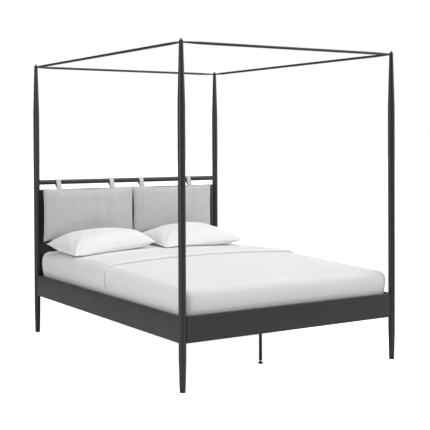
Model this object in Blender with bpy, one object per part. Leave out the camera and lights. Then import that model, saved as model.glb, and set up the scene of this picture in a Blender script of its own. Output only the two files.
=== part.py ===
"""Four poster canopy bed, queen size, with its mattress, bedding and hanging headboard cushions.

Metres, +Z up. The origin is on the floor at the middle of the bed. +Y is the head end, +X the
right-hand side for someone who stands at the foot. Every steel piece is powder-coated.
"""
import math

import bmesh
import bpy
from mathutils import Matrix, Vector

GAP = 0.0003                    # clearance between pieces that touch on the real bed

# Posts
POST_X = 0.7875                 # post axis to the middle of the bed, across
POST_Y = 1.070                  # post axis to the middle of the bed, along
POST_RADIUS = 0.022
POST_WALL = 0.002
POST_TIP_RADIUS = 0.0125
POST_TOE_RADIUS = 0.0175
POST_TAPER_START = 1.63         # the upper taper runs from here to the post's top
POST_TOP = 1.985
POST_TOE_TAPER = 0.19           # the lower taper runs from here to the floor
POST_PLUG = 0.030               # length of the solid end that takes the finial's stud
POST_SIDES = 24
BED_HEIGHT = 2.000

# Finials, glides and canopy rods
STUD_RADIUS = 0.003
STUD_LENGTH = 0.019
GLIDE_HEIGHT = 0.006
GLIDE_PLUG = 0.016
ROD_HEIGHT = 1.977
ROD_RADIUS = 0.0085
ROD_END_RADIUS = 0.005
ROD_WALL = 0.0015
ROD_TAPER = 0.15
ROD_TENON_RADIUS = 0.004
ROD_TENON_REACH = 0.0045        # a tenon stops this far from the post's axis
ROD_SHOULDER = 0.0131           # a rod's shoulder stands this far from the post's axis
ROD_SIDES = 16
ROD_TAPER_STEPS = 4

# Rails
RAIL_BOTTOM = 0.2764
RAIL_TOP = 0.429
RAIL_DEPTH = 0.025              # over the flanges
RAIL_WALL = 0.002
RAIL_END_PLATE = 0.004
SHELF_TOP = 0.3297              # the side rails' shelf that carries the slats
SHELF_WALL = 0.003

# Bolts
BOLT_HEIGHT = 0.380
BOLT_RADIUS = 0.004
BOLT_HOLE_RADIUS = 0.0043
BOLT_HEAD_RADIUS = 0.0075       # across the corners
BOLT_HEAD_HEIGHT = 0.0053
BOLT_REACH = 0.008              # a shank stops this far from the post's axis

# Centre beam and legs
BEAM_WIDTH = 0.025
BEAM_WALL = 0.002
BEAM_BOTTOM = RAIL_BOTTOM + RAIL_WALL + GAP
BEAM_END_GAP = 0.002
LEG_Y = 0.71
LEG_RADIUS = 0.010
LEG_WALL = 0.0015
LEG_BOTTOM = 0.020
LEG_INSERT = 0.016              # length of the threaded insert in the leg's lower end
LEG_PLATE_RADIUS = 0.024
LEG_PLATE = 0.003
SCREW_RADIUS = 0.004
SCREW_TOP = 0.056
PAD_RADIUS = 0.015
PAD_HEIGHT = 0.012

# Slats
SLAT_COUNT = 12
SLAT_WIDTH = 0.090
SLAT_THICK = 0.018
SLAT_SPAN = 0.975               # middle of the first and last slat to the middle of the bed
SLAT_END_GAP = 0.002

# Headboard
PANEL_THICK = 0.018
PANEL_SKIN = 0.0012
PANEL_TOP = 1.063
CUSHION_RAIL_HEIGHT = 1.118
CUSHION_RAIL_RADIUS = 0.0175
CUSHION_RAIL_WALL = 0.002
CUSHION_THICK = 0.098
CUSHION_BOTTOM = 0.695
CUSHION_TOP = 1.066
CUSHION_BACK = POST_Y - PANEL_THICK / 2 - 0.002
CUSHION_ROUNDING = 0.034
CUSHION_SPANS = {"left": (-0.757, -0.012), "right": (-0.008, 0.705)}
STRAP_WIDTH = 0.036
STRAP_THICK = 0.0024
STRAP_SLACK = 0.0008            # between the strap and the rail
STRAP_CENTRES = {"strap_1": -0.620, "strap_2": -0.176, "strap_3": 0.085, "strap_4": 0.521}
STRAP_FRONT_END = (-0.042, -0.0512)   # ends of the strap's middle line, from the rail's axis
STRAP_BACK_END = (-0.0385, -0.0512)
STRAP_ARC_STEPS = 12

# Bedding
MATTRESS_HALF_WIDTH = 0.760
MATTRESS_FOOT = -1.050
MATTRESS_HEAD = 1.047
MATTRESS_TOP = 0.620
MATTRESS_ROUNDING = 0.045
SHEET_THICK = 0.003
SHEET_GAP = 0.0006
SHEET_FOLD = 0.365              # the sheet is folded back on itself along this line
SHEET_BOTTOM = 0.352
PILLOW_LENGTH = 0.700
PILLOW_DEPTH = 0.415
PILLOW_THICK = 0.176
PILLOW_FLAT = 0.72              # share of the half thickness kept under the middle
PILLOW_CUTS = 5
PILLOWS = {"left": (-0.395, 0.700, 5.0), "right": (0.382, 0.712, -3.0)}   # x, y, degrees of turn

FINISHES = {
    "powder_coat": ((0.048, 0.049, 0.051), 0.42, 0.0),
    "zinc": ((0.36, 0.36, 0.37), 0.35, 1.0),
    "black_plastic": ((0.012, 0.012, 0.013), 0.55, 0.0),
    "pine": ((0.58, 0.40, 0.22), 0.60, 0.0),
    "heather_fabric": ((0.46, 0.46, 0.47), 0.95, 0.0),
    "white_cotton": ((0.80, 0.80, 0.80), 0.90, 0.0),
}


def make_finishes():
    """A Principled material for each finish."""
    made = {}
    for name, (colour, roughness, metallic) in FINISHES.items():
        finish = bpy.data.materials.new(name)
        finish.use_nodes = True
        shader = finish.node_tree.nodes["Principled BSDF"]
        shader.inputs["Base Color"].default_value = (*colour, 1.0)
        shader.inputs["Roughness"].default_value = roughness
        shader.inputs["Metallic"].default_value = metallic
        made[name] = finish
    return made


def to_mesh(bm, name, round_piece=False):
    """Turn a bmesh into a mesh with its faces pointing out."""
    bmesh.ops.recalc_face_normals(bm, faces=bm.faces)
    mesh = bpy.data.meshes.new(name)
    bm.to_mesh(mesh)
    bm.free()
    if round_piece:
        mesh.shade_smooth()
        mesh.set_sharp_from_angle(angle=math.radians(35))
    return mesh


def box_mesh(low, high):
    """A box between two corners."""
    bm = bmesh.new()
    bmesh.ops.create_cube(bm, size=1.0)
    size = [b - a for a, b in zip(low, high)]
    middle = [(a + b) / 2 for a, b in zip(low, high)]
    bmesh.ops.scale(bm, vec=size, verts=bm.verts)
    bmesh.ops.translate(bm, vec=middle, verts=bm.verts)
    return to_mesh(bm, "box")


def turned_mesh(outline, sides, closed=False):
    """Spin an outline of (radius, height) points about Z. A closed outline makes a hollow ring."""
    bm = bmesh.new()
    verts = [bm.verts.new((radius, 0.0, height)) for radius, height in outline]
    edges = [bm.edges.new(pair) for pair in zip(verts, verts[1:])]
    if closed:
        edges.append(bm.edges.new((verts[-1], verts[0])))
    bmesh.ops.spin(bm, geom=verts + edges, cent=(0, 0, 0), axis=(0, 0, 1), angle=math.tau,
                   steps=sides, use_merge=True)
    bmesh.ops.remove_doubles(bm, verts=bm.verts, dist=0.00001)
    return to_mesh(bm, "turned", round_piece=True)


def extruded_mesh(outline, length):
    """Extrude an outline of (y, z) points along X, centred on X = 0."""
    bm = bmesh.new()
    face = bm.faces.new([bm.verts.new((-length / 2, y, z)) for y, z in outline])
    grown = bmesh.ops.extrude_face_region(bm, geom=[face])
    moved = [item for item in grown["geom"] if isinstance(item, bmesh.types.BMVert)]
    bmesh.ops.translate(bm, vec=(length, 0, 0), verts=moved)
    return to_mesh(bm, "extruded", round_piece=True)


def evaluated_mesh(obj):
    """The object's mesh with its modifiers applied; the object goes."""
    depsgraph = bpy.context.evaluated_depsgraph_get()
    mesh = bpy.data.meshes.new_from_object(obj.evaluated_get(depsgraph))
    bpy.data.objects.remove(obj)
    return mesh


def scratch_object(mesh):
    """A temporary object for a modifier to work on."""
    obj = bpy.data.objects.new("scratch", mesh)
    bpy.context.scene.collection.objects.link(obj)
    return obj


def rounded_mesh(mesh, width, segments):
    """Round every edge of a mesh."""
    obj = scratch_object(mesh)
    bevel = obj.modifiers.new("rounding", "BEVEL")
    bevel.width = width
    bevel.segments = segments
    rounded = evaluated_mesh(obj)
    rounded.shade_smooth()
    return rounded


def boolean_mesh(mesh, others, operation):
    """Join other meshes to a mesh (UNION) or take them out of it (DIFFERENCE)."""
    obj = scratch_object(mesh)
    tools = [scratch_object(other) for other in others]
    for tool in tools:
        boolean = obj.modifiers.new("shape", "BOOLEAN")
        boolean.operation = operation
        boolean.solver = "EXACT"
        boolean.object = tool
    result = evaluated_mesh(obj)
    for tool in tools:
        bpy.data.objects.remove(tool)
    return result


def cut_mesh(mesh, cutters):
    """Take each cutter mesh out of a mesh."""
    return boolean_mesh(mesh, cutters, "DIFFERENCE")


def bar_mesh(start, direction, length, radius, sides):
    """A plain bar from a point in a direction; many sides make it round."""
    mesh = turned_mesh([(0, 0), (radius, 0), (radius, length), (0, length)], sides)
    turn = Vector((0, 0, 1)).rotation_difference(Vector(direction)).to_matrix().to_4x4()
    mesh.transform(Matrix.Translation(start) @ turn)
    return mesh


def add_piece(name, mesh, finish, location=(0, 0, 0), turn=(0, 0, 0), parent=None):
    """Put a finished piece in the scene under its own name."""
    obj = bpy.data.objects.new(name, mesh)
    if not mesh.materials:
        mesh.materials.append(finish)
    bpy.context.scene.collection.objects.link(obj)
    obj.rotation_euler = turn
    obj.location = location
    obj.parent = parent
    return obj


def add_axis(name, location):
    """An empty on a joint's axis, for the pieces that move about it."""
    empty = bpy.data.objects.new(name, None)
    empty.location = location
    bpy.context.scene.collection.objects.link(empty)
    return empty


def corners():
    """Each post's name, place and the quarter turns that face its sockets into the bed."""
    yield "foot_left", (-POST_X, -POST_Y, 0), 0
    yield "foot_right", (POST_X, -POST_Y, 0), 1
    yield "head_right", (POST_X, POST_Y, 0), 2
    yield "head_left", (-POST_X, POST_Y, 0), 3


def post_radius(height):
    """Outer radius of the upper taper."""
    share = (height - POST_TAPER_START) / (POST_TOP - POST_TAPER_START)
    return POST_RADIUS + (POST_TIP_RADIUS - POST_RADIUS) * max(share, 0.0)


def post_mesh():
    """A steel tube tapered at both ends, with a solid top, and sockets on its +X and +Y sides."""
    toe = GLIDE_HEIGHT + GAP
    plug_start = POST_TOP - POST_PLUG
    stud_bore = STUD_RADIUS + GAP
    outline = [
        (POST_TOE_RADIUS, toe),
        (POST_RADIUS, POST_TOE_TAPER),
        (POST_RADIUS, POST_TAPER_START),
        (POST_TIP_RADIUS, POST_TOP),
        (stud_bore, POST_TOP),
        (stud_bore, plug_start),
        (post_radius(plug_start) - POST_WALL, plug_start),
        (POST_RADIUS - POST_WALL, POST_TAPER_START),
        (POST_RADIUS - POST_WALL, POST_TOE_TAPER),
        (POST_TOE_RADIUS - POST_WALL, toe),
    ]
    holes = []
    for direction in ((1, 0, 0), (0, 1, 0)):
        rod_start = Vector(direction) * 0.001 + Vector((0, 0, ROD_HEIGHT))
        holes.append(bar_mesh(rod_start, direction, 0.03, ROD_TENON_RADIUS + GAP, 12))
        bolt_start = Vector(direction) * BOLT_REACH + Vector((0, 0, BOLT_HEIGHT))
        holes.append(bar_mesh(bolt_start, direction, 0.03, BOLT_HOLE_RADIUS, 12))
    return cut_mesh(turned_mesh(outline, POST_SIDES, closed=True), holes)


def finial_mesh():
    """A small blunt cone on a stud."""
    base = POST_TOP + GAP
    rise = BED_HEIGHT - base
    outline = [
        (0, POST_TOP - STUD_LENGTH),
        (STUD_RADIUS, POST_TOP - STUD_LENGTH),
        (STUD_RADIUS, base),
        (POST_TIP_RADIUS, base),
        (POST_TIP_RADIUS * 0.80, base + rise * 0.25),
        (POST_TIP_RADIUS * 0.42, base + rise * 0.66),
        (POST_TIP_RADIUS * 0.16, base + rise * 0.94),
        (0, BED_HEIGHT),
    ]
    return turned_mesh(outline, POST_SIDES)


def glide_mesh():
    """A plastic foot with a plug that fits the post's open end."""
    plug_radius = POST_TOE_RADIUS - POST_WALL - GAP
    outline = [
        (0, 0),
        (POST_TOE_RADIUS - 0.0025, 0),
        (POST_TOE_RADIUS - 0.001, 0.0015),
        (POST_TOE_RADIUS - 0.001, GLIDE_HEIGHT),
        (plug_radius, GLIDE_HEIGHT),
        (plug_radius, GLIDE_HEIGHT + GLIDE_PLUG),
        (0, GLIDE_HEIGHT + GLIDE_PLUG),
    ]
    return turned_mesh(outline, POST_SIDES)


def add_posts(finishes):
    """Four posts, each with its finial and glide."""
    post = post_mesh()
    finial = finial_mesh()
    glide = glide_mesh()
    for name, place, quarters in corners():
        turn = (0, 0, quarters * math.pi / 2)
        add_piece(f"post_{name}", post, finishes["powder_coat"], place, turn)
        add_piece(f"finial_{name}", finial, finishes["powder_coat"], place, turn)
        add_piece(f"glide_{name}", glide, finishes["black_plastic"], place, turn)


def rod_outline(half_length):
    """One half of a canopy rod's wall, from its tenon's end to its middle."""
    tenon_end = -half_length + ROD_TENON_REACH
    shoulder = -half_length + ROD_SHOULDER
    outer = [(ROD_TENON_RADIUS, tenon_end), (ROD_TENON_RADIUS, shoulder)]
    for step in range(ROD_TAPER_STEPS + 1):
        share = step / ROD_TAPER_STEPS
        swell = math.sin(share * math.pi / 2)
        radius = ROD_END_RADIUS + (ROD_RADIUS - ROD_END_RADIUS) * swell
        outer.append((radius, shoulder + share * ROD_TAPER))
    inner = [
        (ROD_TENON_RADIUS - ROD_WALL, tenon_end),
        (ROD_END_RADIUS - ROD_WALL, shoulder + 0.004),
        (ROD_RADIUS - ROD_WALL, shoulder + ROD_TAPER),
    ]
    return outer, inner


def rod_mesh(half_length):
    """A canopy rod: a tube that swells from its two tenons, along Z."""
    outer, inner = rod_outline(half_length)
    far_outer = [(radius, -height) for radius, height in reversed(outer)]
    far_inner = [(radius, -height) for radius, height in inner]
    outline = outer + far_outer + far_inner + list(reversed(inner))
    return turned_mesh(outline, ROD_SIDES, closed=True)


def add_canopy(finishes):
    """Four rods between the post tops."""
    steel = finishes["powder_coat"]
    along = rod_mesh(POST_Y)
    across = rod_mesh(POST_X)
    quarter = math.pi / 2
    add_piece("canopy_rod_left", along, steel, (-POST_X, 0, ROD_HEIGHT), (quarter, 0, 0))
    add_piece("canopy_rod_right", along, steel, (POST_X, 0, ROD_HEIGHT), (quarter, 0, 0))
    add_piece("canopy_rod_foot", across, steel, (0, -POST_Y, ROD_HEIGHT), (0, quarter, 0))
    add_piece("canopy_rod_head", across, steel, (0, POST_Y, ROD_HEIGHT), (0, quarter, 0))


def rail_mesh(post_distance, with_shelf):
    """A rail along X with its flat face at -Y: a channel open at +Y, closed by its end plates."""
    half = post_distance - POST_RADIUS - GAP
    rail = box_mesh((-half, -RAIL_DEPTH / 2, RAIL_BOTTOM), (half, RAIL_DEPTH / 2, RAIL_TOP))
    pocket_half = half - RAIL_END_PLATE
    pocket_back = -RAIL_DEPTH / 2 + RAIL_WALL
    levels = [RAIL_BOTTOM + RAIL_WALL, RAIL_TOP - RAIL_WALL]
    if with_shelf:
        levels = [levels[0], SHELF_TOP - SHELF_WALL, SHELF_TOP, levels[1]]
    cutters = []
    for low, high in zip(levels[::2], levels[1::2]):
        cutters.append(box_mesh((-pocket_half, pocket_back, low), (pocket_half, RAIL_DEPTH, high)))
    for side in (-1, 1):
        start = (side * (pocket_half - 0.01), 0, BOLT_HEIGHT)
        cutters.append(bar_mesh(start, (side, 0, 0), 0.03, BOLT_HOLE_RADIUS, 12))
    return cut_mesh(rail, cutters)


def add_rails(finishes):
    """Two side rails with a shelf for the slats, a foot rail and a head rail."""
    steel = finishes["powder_coat"]
    side = rail_mesh(POST_Y, True)
    end = rail_mesh(POST_X, False)
    add_piece("side_rail_left", side, steel, (-POST_X, 0, 0), (0, 0, -math.pi / 2))
    add_piece("side_rail_right", side, steel, (POST_X, 0, 0), (0, 0, math.pi / 2))
    add_piece("foot_rail", end, steel, (0, -POST_Y, 0))
    add_piece("head_rail", end, steel, (0, POST_Y, 0), (0, 0, math.pi))


def bolt_mesh():
    """A hexagon-head bolt along Z, from inside the post to its head in the rail."""
    start = BOLT_REACH + GAP
    shoulder = POST_RADIUS + RAIL_END_PLATE + 2 * GAP
    up = (0, 0, 1)
    shank = bar_mesh((0, 0, start), up, shoulder + BOLT_HEAD_HEIGHT / 2 - start, BOLT_RADIUS, 12)
    head = bar_mesh((0, 0, shoulder), up, BOLT_HEAD_HEIGHT, BOLT_HEAD_RADIUS, 6)
    return boolean_mesh(head, [shank], "UNION")


def add_bolts(finishes):
    """Two bolts at each post, one through the end plate of each rail."""
    bolt = bolt_mesh()
    quarter = math.pi / 2
    for name, (x, y, _), _ in corners():
        place = (x, y, BOLT_HEIGHT)
        toward_x = quarter if x < 0 else -quarter
        toward_y = -quarter if y < 0 else quarter
        add_piece(f"rail_bolt_{name}_end", bolt, finishes["zinc"], place, (0, toward_x, 0))
        add_piece(f"rail_bolt_{name}_side", bolt, finishes["zinc"], place, (toward_y, 0, 0))


def beam_mesh():
    """A rectangular tube along Y, open at both ends, from the foot rail to the head rail."""
    reach = POST_Y + RAIL_DEPTH / 2 - RAIL_WALL - BEAM_END_GAP
    half = BEAM_WIDTH / 2
    tube = box_mesh((-half, -reach, BEAM_BOTTOM), (half, reach, SHELF_TOP))
    bore = box_mesh((-half + BEAM_WALL, -reach - 0.01, BEAM_BOTTOM + BEAM_WALL),
                    (half - BEAM_WALL, reach + 0.01, SHELF_TOP - BEAM_WALL))
    return cut_mesh(tube, [bore])


def leg_mesh():
    """A round leg tube with a threaded insert below and a plate above."""
    bore = SCREW_RADIUS + GAP
    hollow = LEG_RADIUS - LEG_WALL
    top = BEAM_BOTTOM - GAP
    insert_top = LEG_BOTTOM + LEG_INSERT
    outline = [
        (bore, LEG_BOTTOM),
        (LEG_RADIUS, LEG_BOTTOM),
        (LEG_RADIUS, top - LEG_PLATE),
        (LEG_PLATE_RADIUS, top - LEG_PLATE),
        (LEG_PLATE_RADIUS, top),
        (0, top),
        (0, top - LEG_PLATE),
        (hollow, top - LEG_PLATE),
        (hollow, insert_top),
        (bore, insert_top),
    ]
    return turned_mesh(outline, ROD_SIDES, closed=True)


def leveller_mesh():
    """A rounded pad on a screw."""
    outline = [
        (0, 0),
        (PAD_RADIUS * 0.80, 0),
        (PAD_RADIUS, PAD_HEIGHT * 0.28),
        (PAD_RADIUS, PAD_HEIGHT * 0.62),
        (PAD_RADIUS * 0.72, PAD_HEIGHT),
        (SCREW_RADIUS, PAD_HEIGHT),
        (SCREW_RADIUS, SCREW_TOP),
        (0, SCREW_TOP),
    ]
    return turned_mesh(outline, ROD_SIDES)


def add_centre_support(finishes):
    """The beam under the slats and its two legs."""
    add_piece("centre_beam", beam_mesh(), finishes["powder_coat"])
    leg = leg_mesh()
    leveller = leveller_mesh()
    for name, y in (("foot", -LEG_Y), ("head", LEG_Y)):
        add_piece(f"centre_leg_{name}", leg, finishes["powder_coat"], (0, y, 0))
        add_piece(f"leveller_{name}", leveller, finishes["black_plastic"], (0, y, 0))


def add_slats(finishes):
    """Evenly spaced slats whose ends lie on the side rails' shelves."""
    half = POST_X + RAIL_DEPTH / 2 - RAIL_WALL - SLAT_END_GAP
    low = SHELF_TOP + GAP
    slat = box_mesh((-half, -SLAT_WIDTH / 2, low), (half, SLAT_WIDTH / 2, low + SLAT_THICK))
    for number in range(SLAT_COUNT):
        y = -SLAT_SPAN + 2 * SLAT_SPAN * number / (SLAT_COUNT - 1)
        add_piece(f"slat_{number + 1:02d}", slat, finishes["pine"], (0, y, 0))


def cushion_rail_mesh():
    """A round tube along X whose ends are coped to fit the posts."""
    outer = CUSHION_RAIL_RADIUS
    inner = outer - CUSHION_RAIL_WALL
    outline = [(outer, -POST_X), (outer, POST_X), (inner, POST_X), (inner, -POST_X)]
    tube = turned_mesh(outline, POST_SIDES, closed=True)
    tube.transform(Matrix.Rotation(math.pi / 2, 4, "Y"))
    copes = []
    for side in (-1, 1):
        start = (side * POST_X, 0, -0.1)
        copes.append(bar_mesh(start, (0, 0, 1), 0.2, POST_RADIUS + GAP, POST_SIDES))
    return cut_mesh(tube, copes)


def panel_mesh():
    """A flat case of sheet steel between the head posts, open along its lower edge."""
    half = POST_X - POST_RADIUS - GAP
    thick = PANEL_THICK / 2
    low = RAIL_TOP + GAP
    case = box_mesh((-half, -thick, low), (half, thick, PANEL_TOP))
    hollow = box_mesh((-half + PANEL_SKIN, -thick + PANEL_SKIN, low - 0.01),
                      (half - PANEL_SKIN, thick - PANEL_SKIN, PANEL_TOP - PANEL_SKIN))
    return cut_mesh(case, [hollow])


def add_headboard(finishes):
    """The panel on the head rail and the rail that the cushions hang from."""
    steel = finishes["powder_coat"]
    add_piece("headboard_panel", panel_mesh(), steel, (0, POST_Y, 0))
    add_piece("cushion_rail", cushion_rail_mesh(), steel, (0, POST_Y, CUSHION_RAIL_HEIGHT))


def strap_outline():
    """A strap's edge seen along the rail: a loop over the rail whose two ends lie together."""
    radius = CUSHION_RAIL_RADIUS + STRAP_SLACK + STRAP_THICK / 2

    def tangent_angle(point, side):
        distance = math.hypot(*point)
        return math.atan2(point[1], point[0]) + side * math.acos(radius / distance)

    start = tangent_angle(STRAP_FRONT_END, -1)
    stop = tangent_angle(STRAP_BACK_END, 1) - math.tau
    angles = [start + (stop - start) * step / STRAP_ARC_STEPS for step in range(STRAP_ARC_STEPS + 1)]

    def side_points(offset):
        reach = radius + offset
        arc = [(reach * math.cos(angle), reach * math.sin(angle)) for angle in angles]
        front = (STRAP_FRONT_END[0] + offset * math.cos(start),
                 STRAP_FRONT_END[1] + offset * math.sin(start))
        back = (STRAP_BACK_END[0] + offset * math.cos(stop),
                STRAP_BACK_END[1] + offset * math.sin(stop))
        return [front] + arc + [back]

    return side_points(STRAP_THICK / 2) + list(reversed(side_points(-STRAP_THICK / 2)))


def add_cushions(finishes):
    """The hanging cushions and their straps, each on an empty on the rail's axis."""
    fabric = finishes["heather_fabric"]
    strap = extruded_mesh(strap_outline(), STRAP_WIDTH)
    for side, (low_x, high_x) in CUSHION_SPANS.items():
        axis = add_axis(f"{side}_cushion_axis", (0, POST_Y, CUSHION_RAIL_HEIGHT))
        back = CUSHION_BACK - POST_Y
        low = (low_x, back - CUSHION_THICK, CUSHION_BOTTOM - CUSHION_RAIL_HEIGHT)
        high = (high_x, back, CUSHION_TOP - CUSHION_RAIL_HEIGHT)
        cushion = rounded_mesh(box_mesh(low, high), CUSHION_ROUNDING, 3)
        add_piece(f"cushion_{side}", cushion, fabric, parent=axis)
        for name, x in STRAP_CENTRES.items():
            if low_x < x < high_x:
                add_piece(name, strap, fabric, (x, 0, 0), parent=axis)


def mattress_box(margin, low_z, head_y):
    """The mattress's rounded block, grown by a margin, down to a level and up to a head end."""
    half = MATTRESS_HALF_WIDTH + margin
    low = (-half, MATTRESS_FOOT - margin, low_z)
    high = (half, head_y, MATTRESS_TOP + margin)
    return rounded_mesh(box_mesh(low, high), MATTRESS_ROUNDING + margin, 3)


def sheet_mesh():
    """A thin cover over the mattress from the fold line to the foot, open below."""
    beyond = 0.2
    shell = mattress_box(SHEET_GAP + SHEET_THICK, SHEET_BOTTOM - beyond, SHEET_FOLD + beyond)
    hollow = mattress_box(SHEET_GAP, SHEET_BOTTOM - 2 * beyond, SHEET_FOLD + 2 * beyond)
    below = box_mesh((-2, -2, -1), (2, 2, SHEET_BOTTOM))
    headward = box_mesh((-2, SHEET_FOLD, -1), (2, 2, 2))
    return cut_mesh(shell, [hollow, below, headward])


def pillow_mesh():
    """A plump pillow with a squarish plan, lens-shaped sides and a flat underside."""
    bm = bmesh.new()
    bmesh.ops.create_cube(bm, size=2.0)
    bmesh.ops.subdivide_edges(bm, edges=bm.edges, cuts=PILLOW_CUTS, use_grid_fill=True)
    for vert in bm.verts:
        plan = math.sqrt(vert.co.x ** 4 + vert.co.y ** 4)
        vert.co /= math.sqrt(plan + vert.co.z ** 2)
        vert.co.z = max(vert.co.z, -PILLOW_FLAT)
    size = (PILLOW_LENGTH / 2, PILLOW_DEPTH / 2, PILLOW_THICK / (1 + PILLOW_FLAT))
    bmesh.ops.scale(bm, vec=size, verts=bm.verts)
    bmesh.ops.translate(bm, vec=(0, 0, size[2] * PILLOW_FLAT), verts=bm.verts)
    return to_mesh(bm, "pillow", round_piece=True)


def add_bedding(finishes):
    """The mattress on the slats, the sheet over it and two pillows."""
    cotton = finishes["white_cotton"]
    mattress = mattress_box(0.0, SHELF_TOP + SLAT_THICK + 2 * GAP, MATTRESS_HEAD)
    add_piece("mattress", mattress, cotton)
    add_piece("top_sheet", sheet_mesh(), cotton)
    pillow = pillow_mesh()
    for side, (x, y, degrees) in PILLOWS.items():
        turn = (0, 0, math.radians(degrees))
        add_piece(f"pillow_{side}", pillow, cotton, (x, y, MATTRESS_TOP + GAP), turn)


def main():
    """Build the whole bed."""
    for obj in list(bpy.data.objects):
        bpy.data.objects.remove(obj)
    finishes = make_finishes()
    add_posts(finishes)
    add_canopy(finishes)
    add_rails(finishes)
    add_bolts(finishes)
    add_centre_support(finishes)
    add_slats(finishes)
    add_headboard(finishes)
    add_cushions(finishes)
    add_bedding(finishes)


main()
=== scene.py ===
"""Looks of the four poster canopy bed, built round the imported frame.

The bed is a powder-coated steel frame with pine slats, a made-up mattress, two pillows and two
upholstered cushions that hang from a rail at the head. Metres, +Z up, +Y towards the head.
"""

import logging
import math
from dataclasses import dataclass
from enum import Enum

import bmesh
import bpy
import numpy as np
from mathutils import Euler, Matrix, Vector


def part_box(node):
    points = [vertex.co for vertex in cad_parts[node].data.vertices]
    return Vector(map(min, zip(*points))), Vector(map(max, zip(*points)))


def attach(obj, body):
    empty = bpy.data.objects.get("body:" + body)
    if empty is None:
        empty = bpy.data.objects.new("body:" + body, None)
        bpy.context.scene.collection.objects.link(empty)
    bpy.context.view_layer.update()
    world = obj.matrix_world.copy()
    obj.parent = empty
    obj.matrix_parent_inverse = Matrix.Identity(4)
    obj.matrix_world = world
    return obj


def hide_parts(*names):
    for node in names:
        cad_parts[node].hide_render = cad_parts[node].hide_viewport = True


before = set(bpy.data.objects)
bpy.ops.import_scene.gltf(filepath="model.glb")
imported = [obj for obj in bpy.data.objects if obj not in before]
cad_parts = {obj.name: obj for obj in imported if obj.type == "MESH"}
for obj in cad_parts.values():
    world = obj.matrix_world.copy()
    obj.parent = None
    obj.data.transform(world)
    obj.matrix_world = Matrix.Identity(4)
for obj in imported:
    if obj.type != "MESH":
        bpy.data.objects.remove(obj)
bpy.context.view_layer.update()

MM = 0.001
WAVE_SCALE = 0.314              # a wave texture's bands lie this far apart at a scale of 1
LOG = logging.getLogger("canopy_bed")
QUARTER = math.pi / 2
CORNERS = {"foot_left": (-1, -1), "foot_right": (1, -1), "head_left": (-1, 1), "head_right": (1, 1)}

Array = np.ndarray
Shell = tuple[Array, list[list[int]]]
Socket = bpy.types.NodeSocket
Input = Socket | float | tuple


# ---------------------------------------------------------------- shapes on grids


def quads(numbers: Array) -> list[list[int]]:
    """Faces between the neighbours of a grid of vertex numbers.

    Args:
        numbers: vertex numbers laid out in rows and columns.

    Returns:
        One list of four vertex numbers for each cell of the grid.
    """
    cells = [numbers[:-1, :-1], numbers[:-1, 1:], numbers[1:, 1:], numbers[1:, :-1]]
    return np.stack(cells, axis=-1).reshape(-1, 4).tolist()


def grid_shell(points: Array, wrap_rows: bool = False, wrap_columns: bool = False) -> Shell:
    """A shell whose vertices are a grid of points.

    Args:
        points: rows by columns by 3 coordinates.
        wrap_rows: join the last row to the first.
        wrap_columns: join the last column to the first.

    Returns:
        The vertices as one list and the faces between them.
    """
    rows, columns = points.shape[:2]
    numbers = np.arange(rows * columns).reshape(rows, columns)
    if wrap_rows:
        numbers = np.vstack([numbers, numbers[:1]])
    if wrap_columns:
        numbers = np.hstack([numbers, numbers[:, :1]])
    return points.reshape(-1, 3), quads(numbers)


def round_corners(points: list[tuple[float, float]], radii: list[float], steps: int = 5) -> Array:
    """Round the corners of a line in a plane: each corner becomes an arc that touches both its sides.

    Args:
        points: the corners in order; a closed outline doesn't repeat its first one.
        radii: one radius for each corner, 0 to leave it sharp, as an open line's ends are.
        steps: pieces in each arc.

    Returns:
        The rounded line's points, in the same order.
    """
    here, radius = np.array(points, float), np.array(radii, float)[:, None]
    back, ahead = np.roll(here, 1, axis=0) - here, np.roll(here, -1, axis=0) - here
    back /= np.linalg.norm(back, axis=1, keepdims=True)
    ahead /= np.linalg.norm(ahead, axis=1, keepdims=True)
    half = np.arccos(np.clip((back * ahead).sum(axis=1), -0.9999, 0.9999))[:, None] / 2
    middle = back + ahead
    middle /= np.maximum(np.linalg.norm(middle, axis=1, keepdims=True), 1e-9)
    centre = here + middle * radius / np.sin(half)
    start, stop = here + back * radius / np.tan(half), here + ahead * radius / np.tan(half)
    turn, share = math.pi - 2 * half, np.linspace(0, 1, steps + 1)
    near, far = np.sin((1 - share) * turn) / np.sin(turn), np.sin(share * turn) / np.sin(turn)
    arcs = centre[:, None] + near[..., None] * (start - centre)[:, None]
    arcs += far[..., None] * (stop - centre)[:, None]
    return np.concatenate([arc if r > 0 else arc[:1] for arc, r in zip(arcs, radius[:, 0])])


def rounded_box(wide: float, tall: float, radius: float, steps: int = 5) -> Array:
    """The outline of a rectangle about the origin, from half its width and height, with round corners."""
    corners = [(-wide, -tall), (wide, -tall), (wide, tall), (-wide, tall)]
    return round_corners(corners, [radius] * 4, steps)


def around(count: int) -> Array:
    """Angles spaced evenly once round a circle."""
    return np.linspace(0, math.tau, count, endpoint=False)


def circle(radius: float, count: int) -> Array:
    """Points spaced evenly round a circle about the origin."""
    return radius * np.column_stack([np.cos(around(count)), np.sin(around(count))])


def run_along(line: Array) -> Array:
    """The distance along a line from its first point to each of its points."""
    return np.concatenate([[0], np.cumsum(np.linalg.norm(np.diff(line, axis=0), axis=1))])


def rings(radius: Array, height: Array) -> Shell:
    """Stack rings about Z: a point's radius goes round as cosine and sine.

    Args:
        radius: each ring's radius in every direction, in rows.
        height: each ring's height.

    Returns:
        The shell through the rings.
    """
    angle = around(radius.shape[1])
    heights = np.broadcast_to(height[:, None], radius.shape)
    return grid_shell(
        np.stack([radius * np.cos(angle), radius * np.sin(angle), heights], axis=-1), wrap_columns=True)


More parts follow.
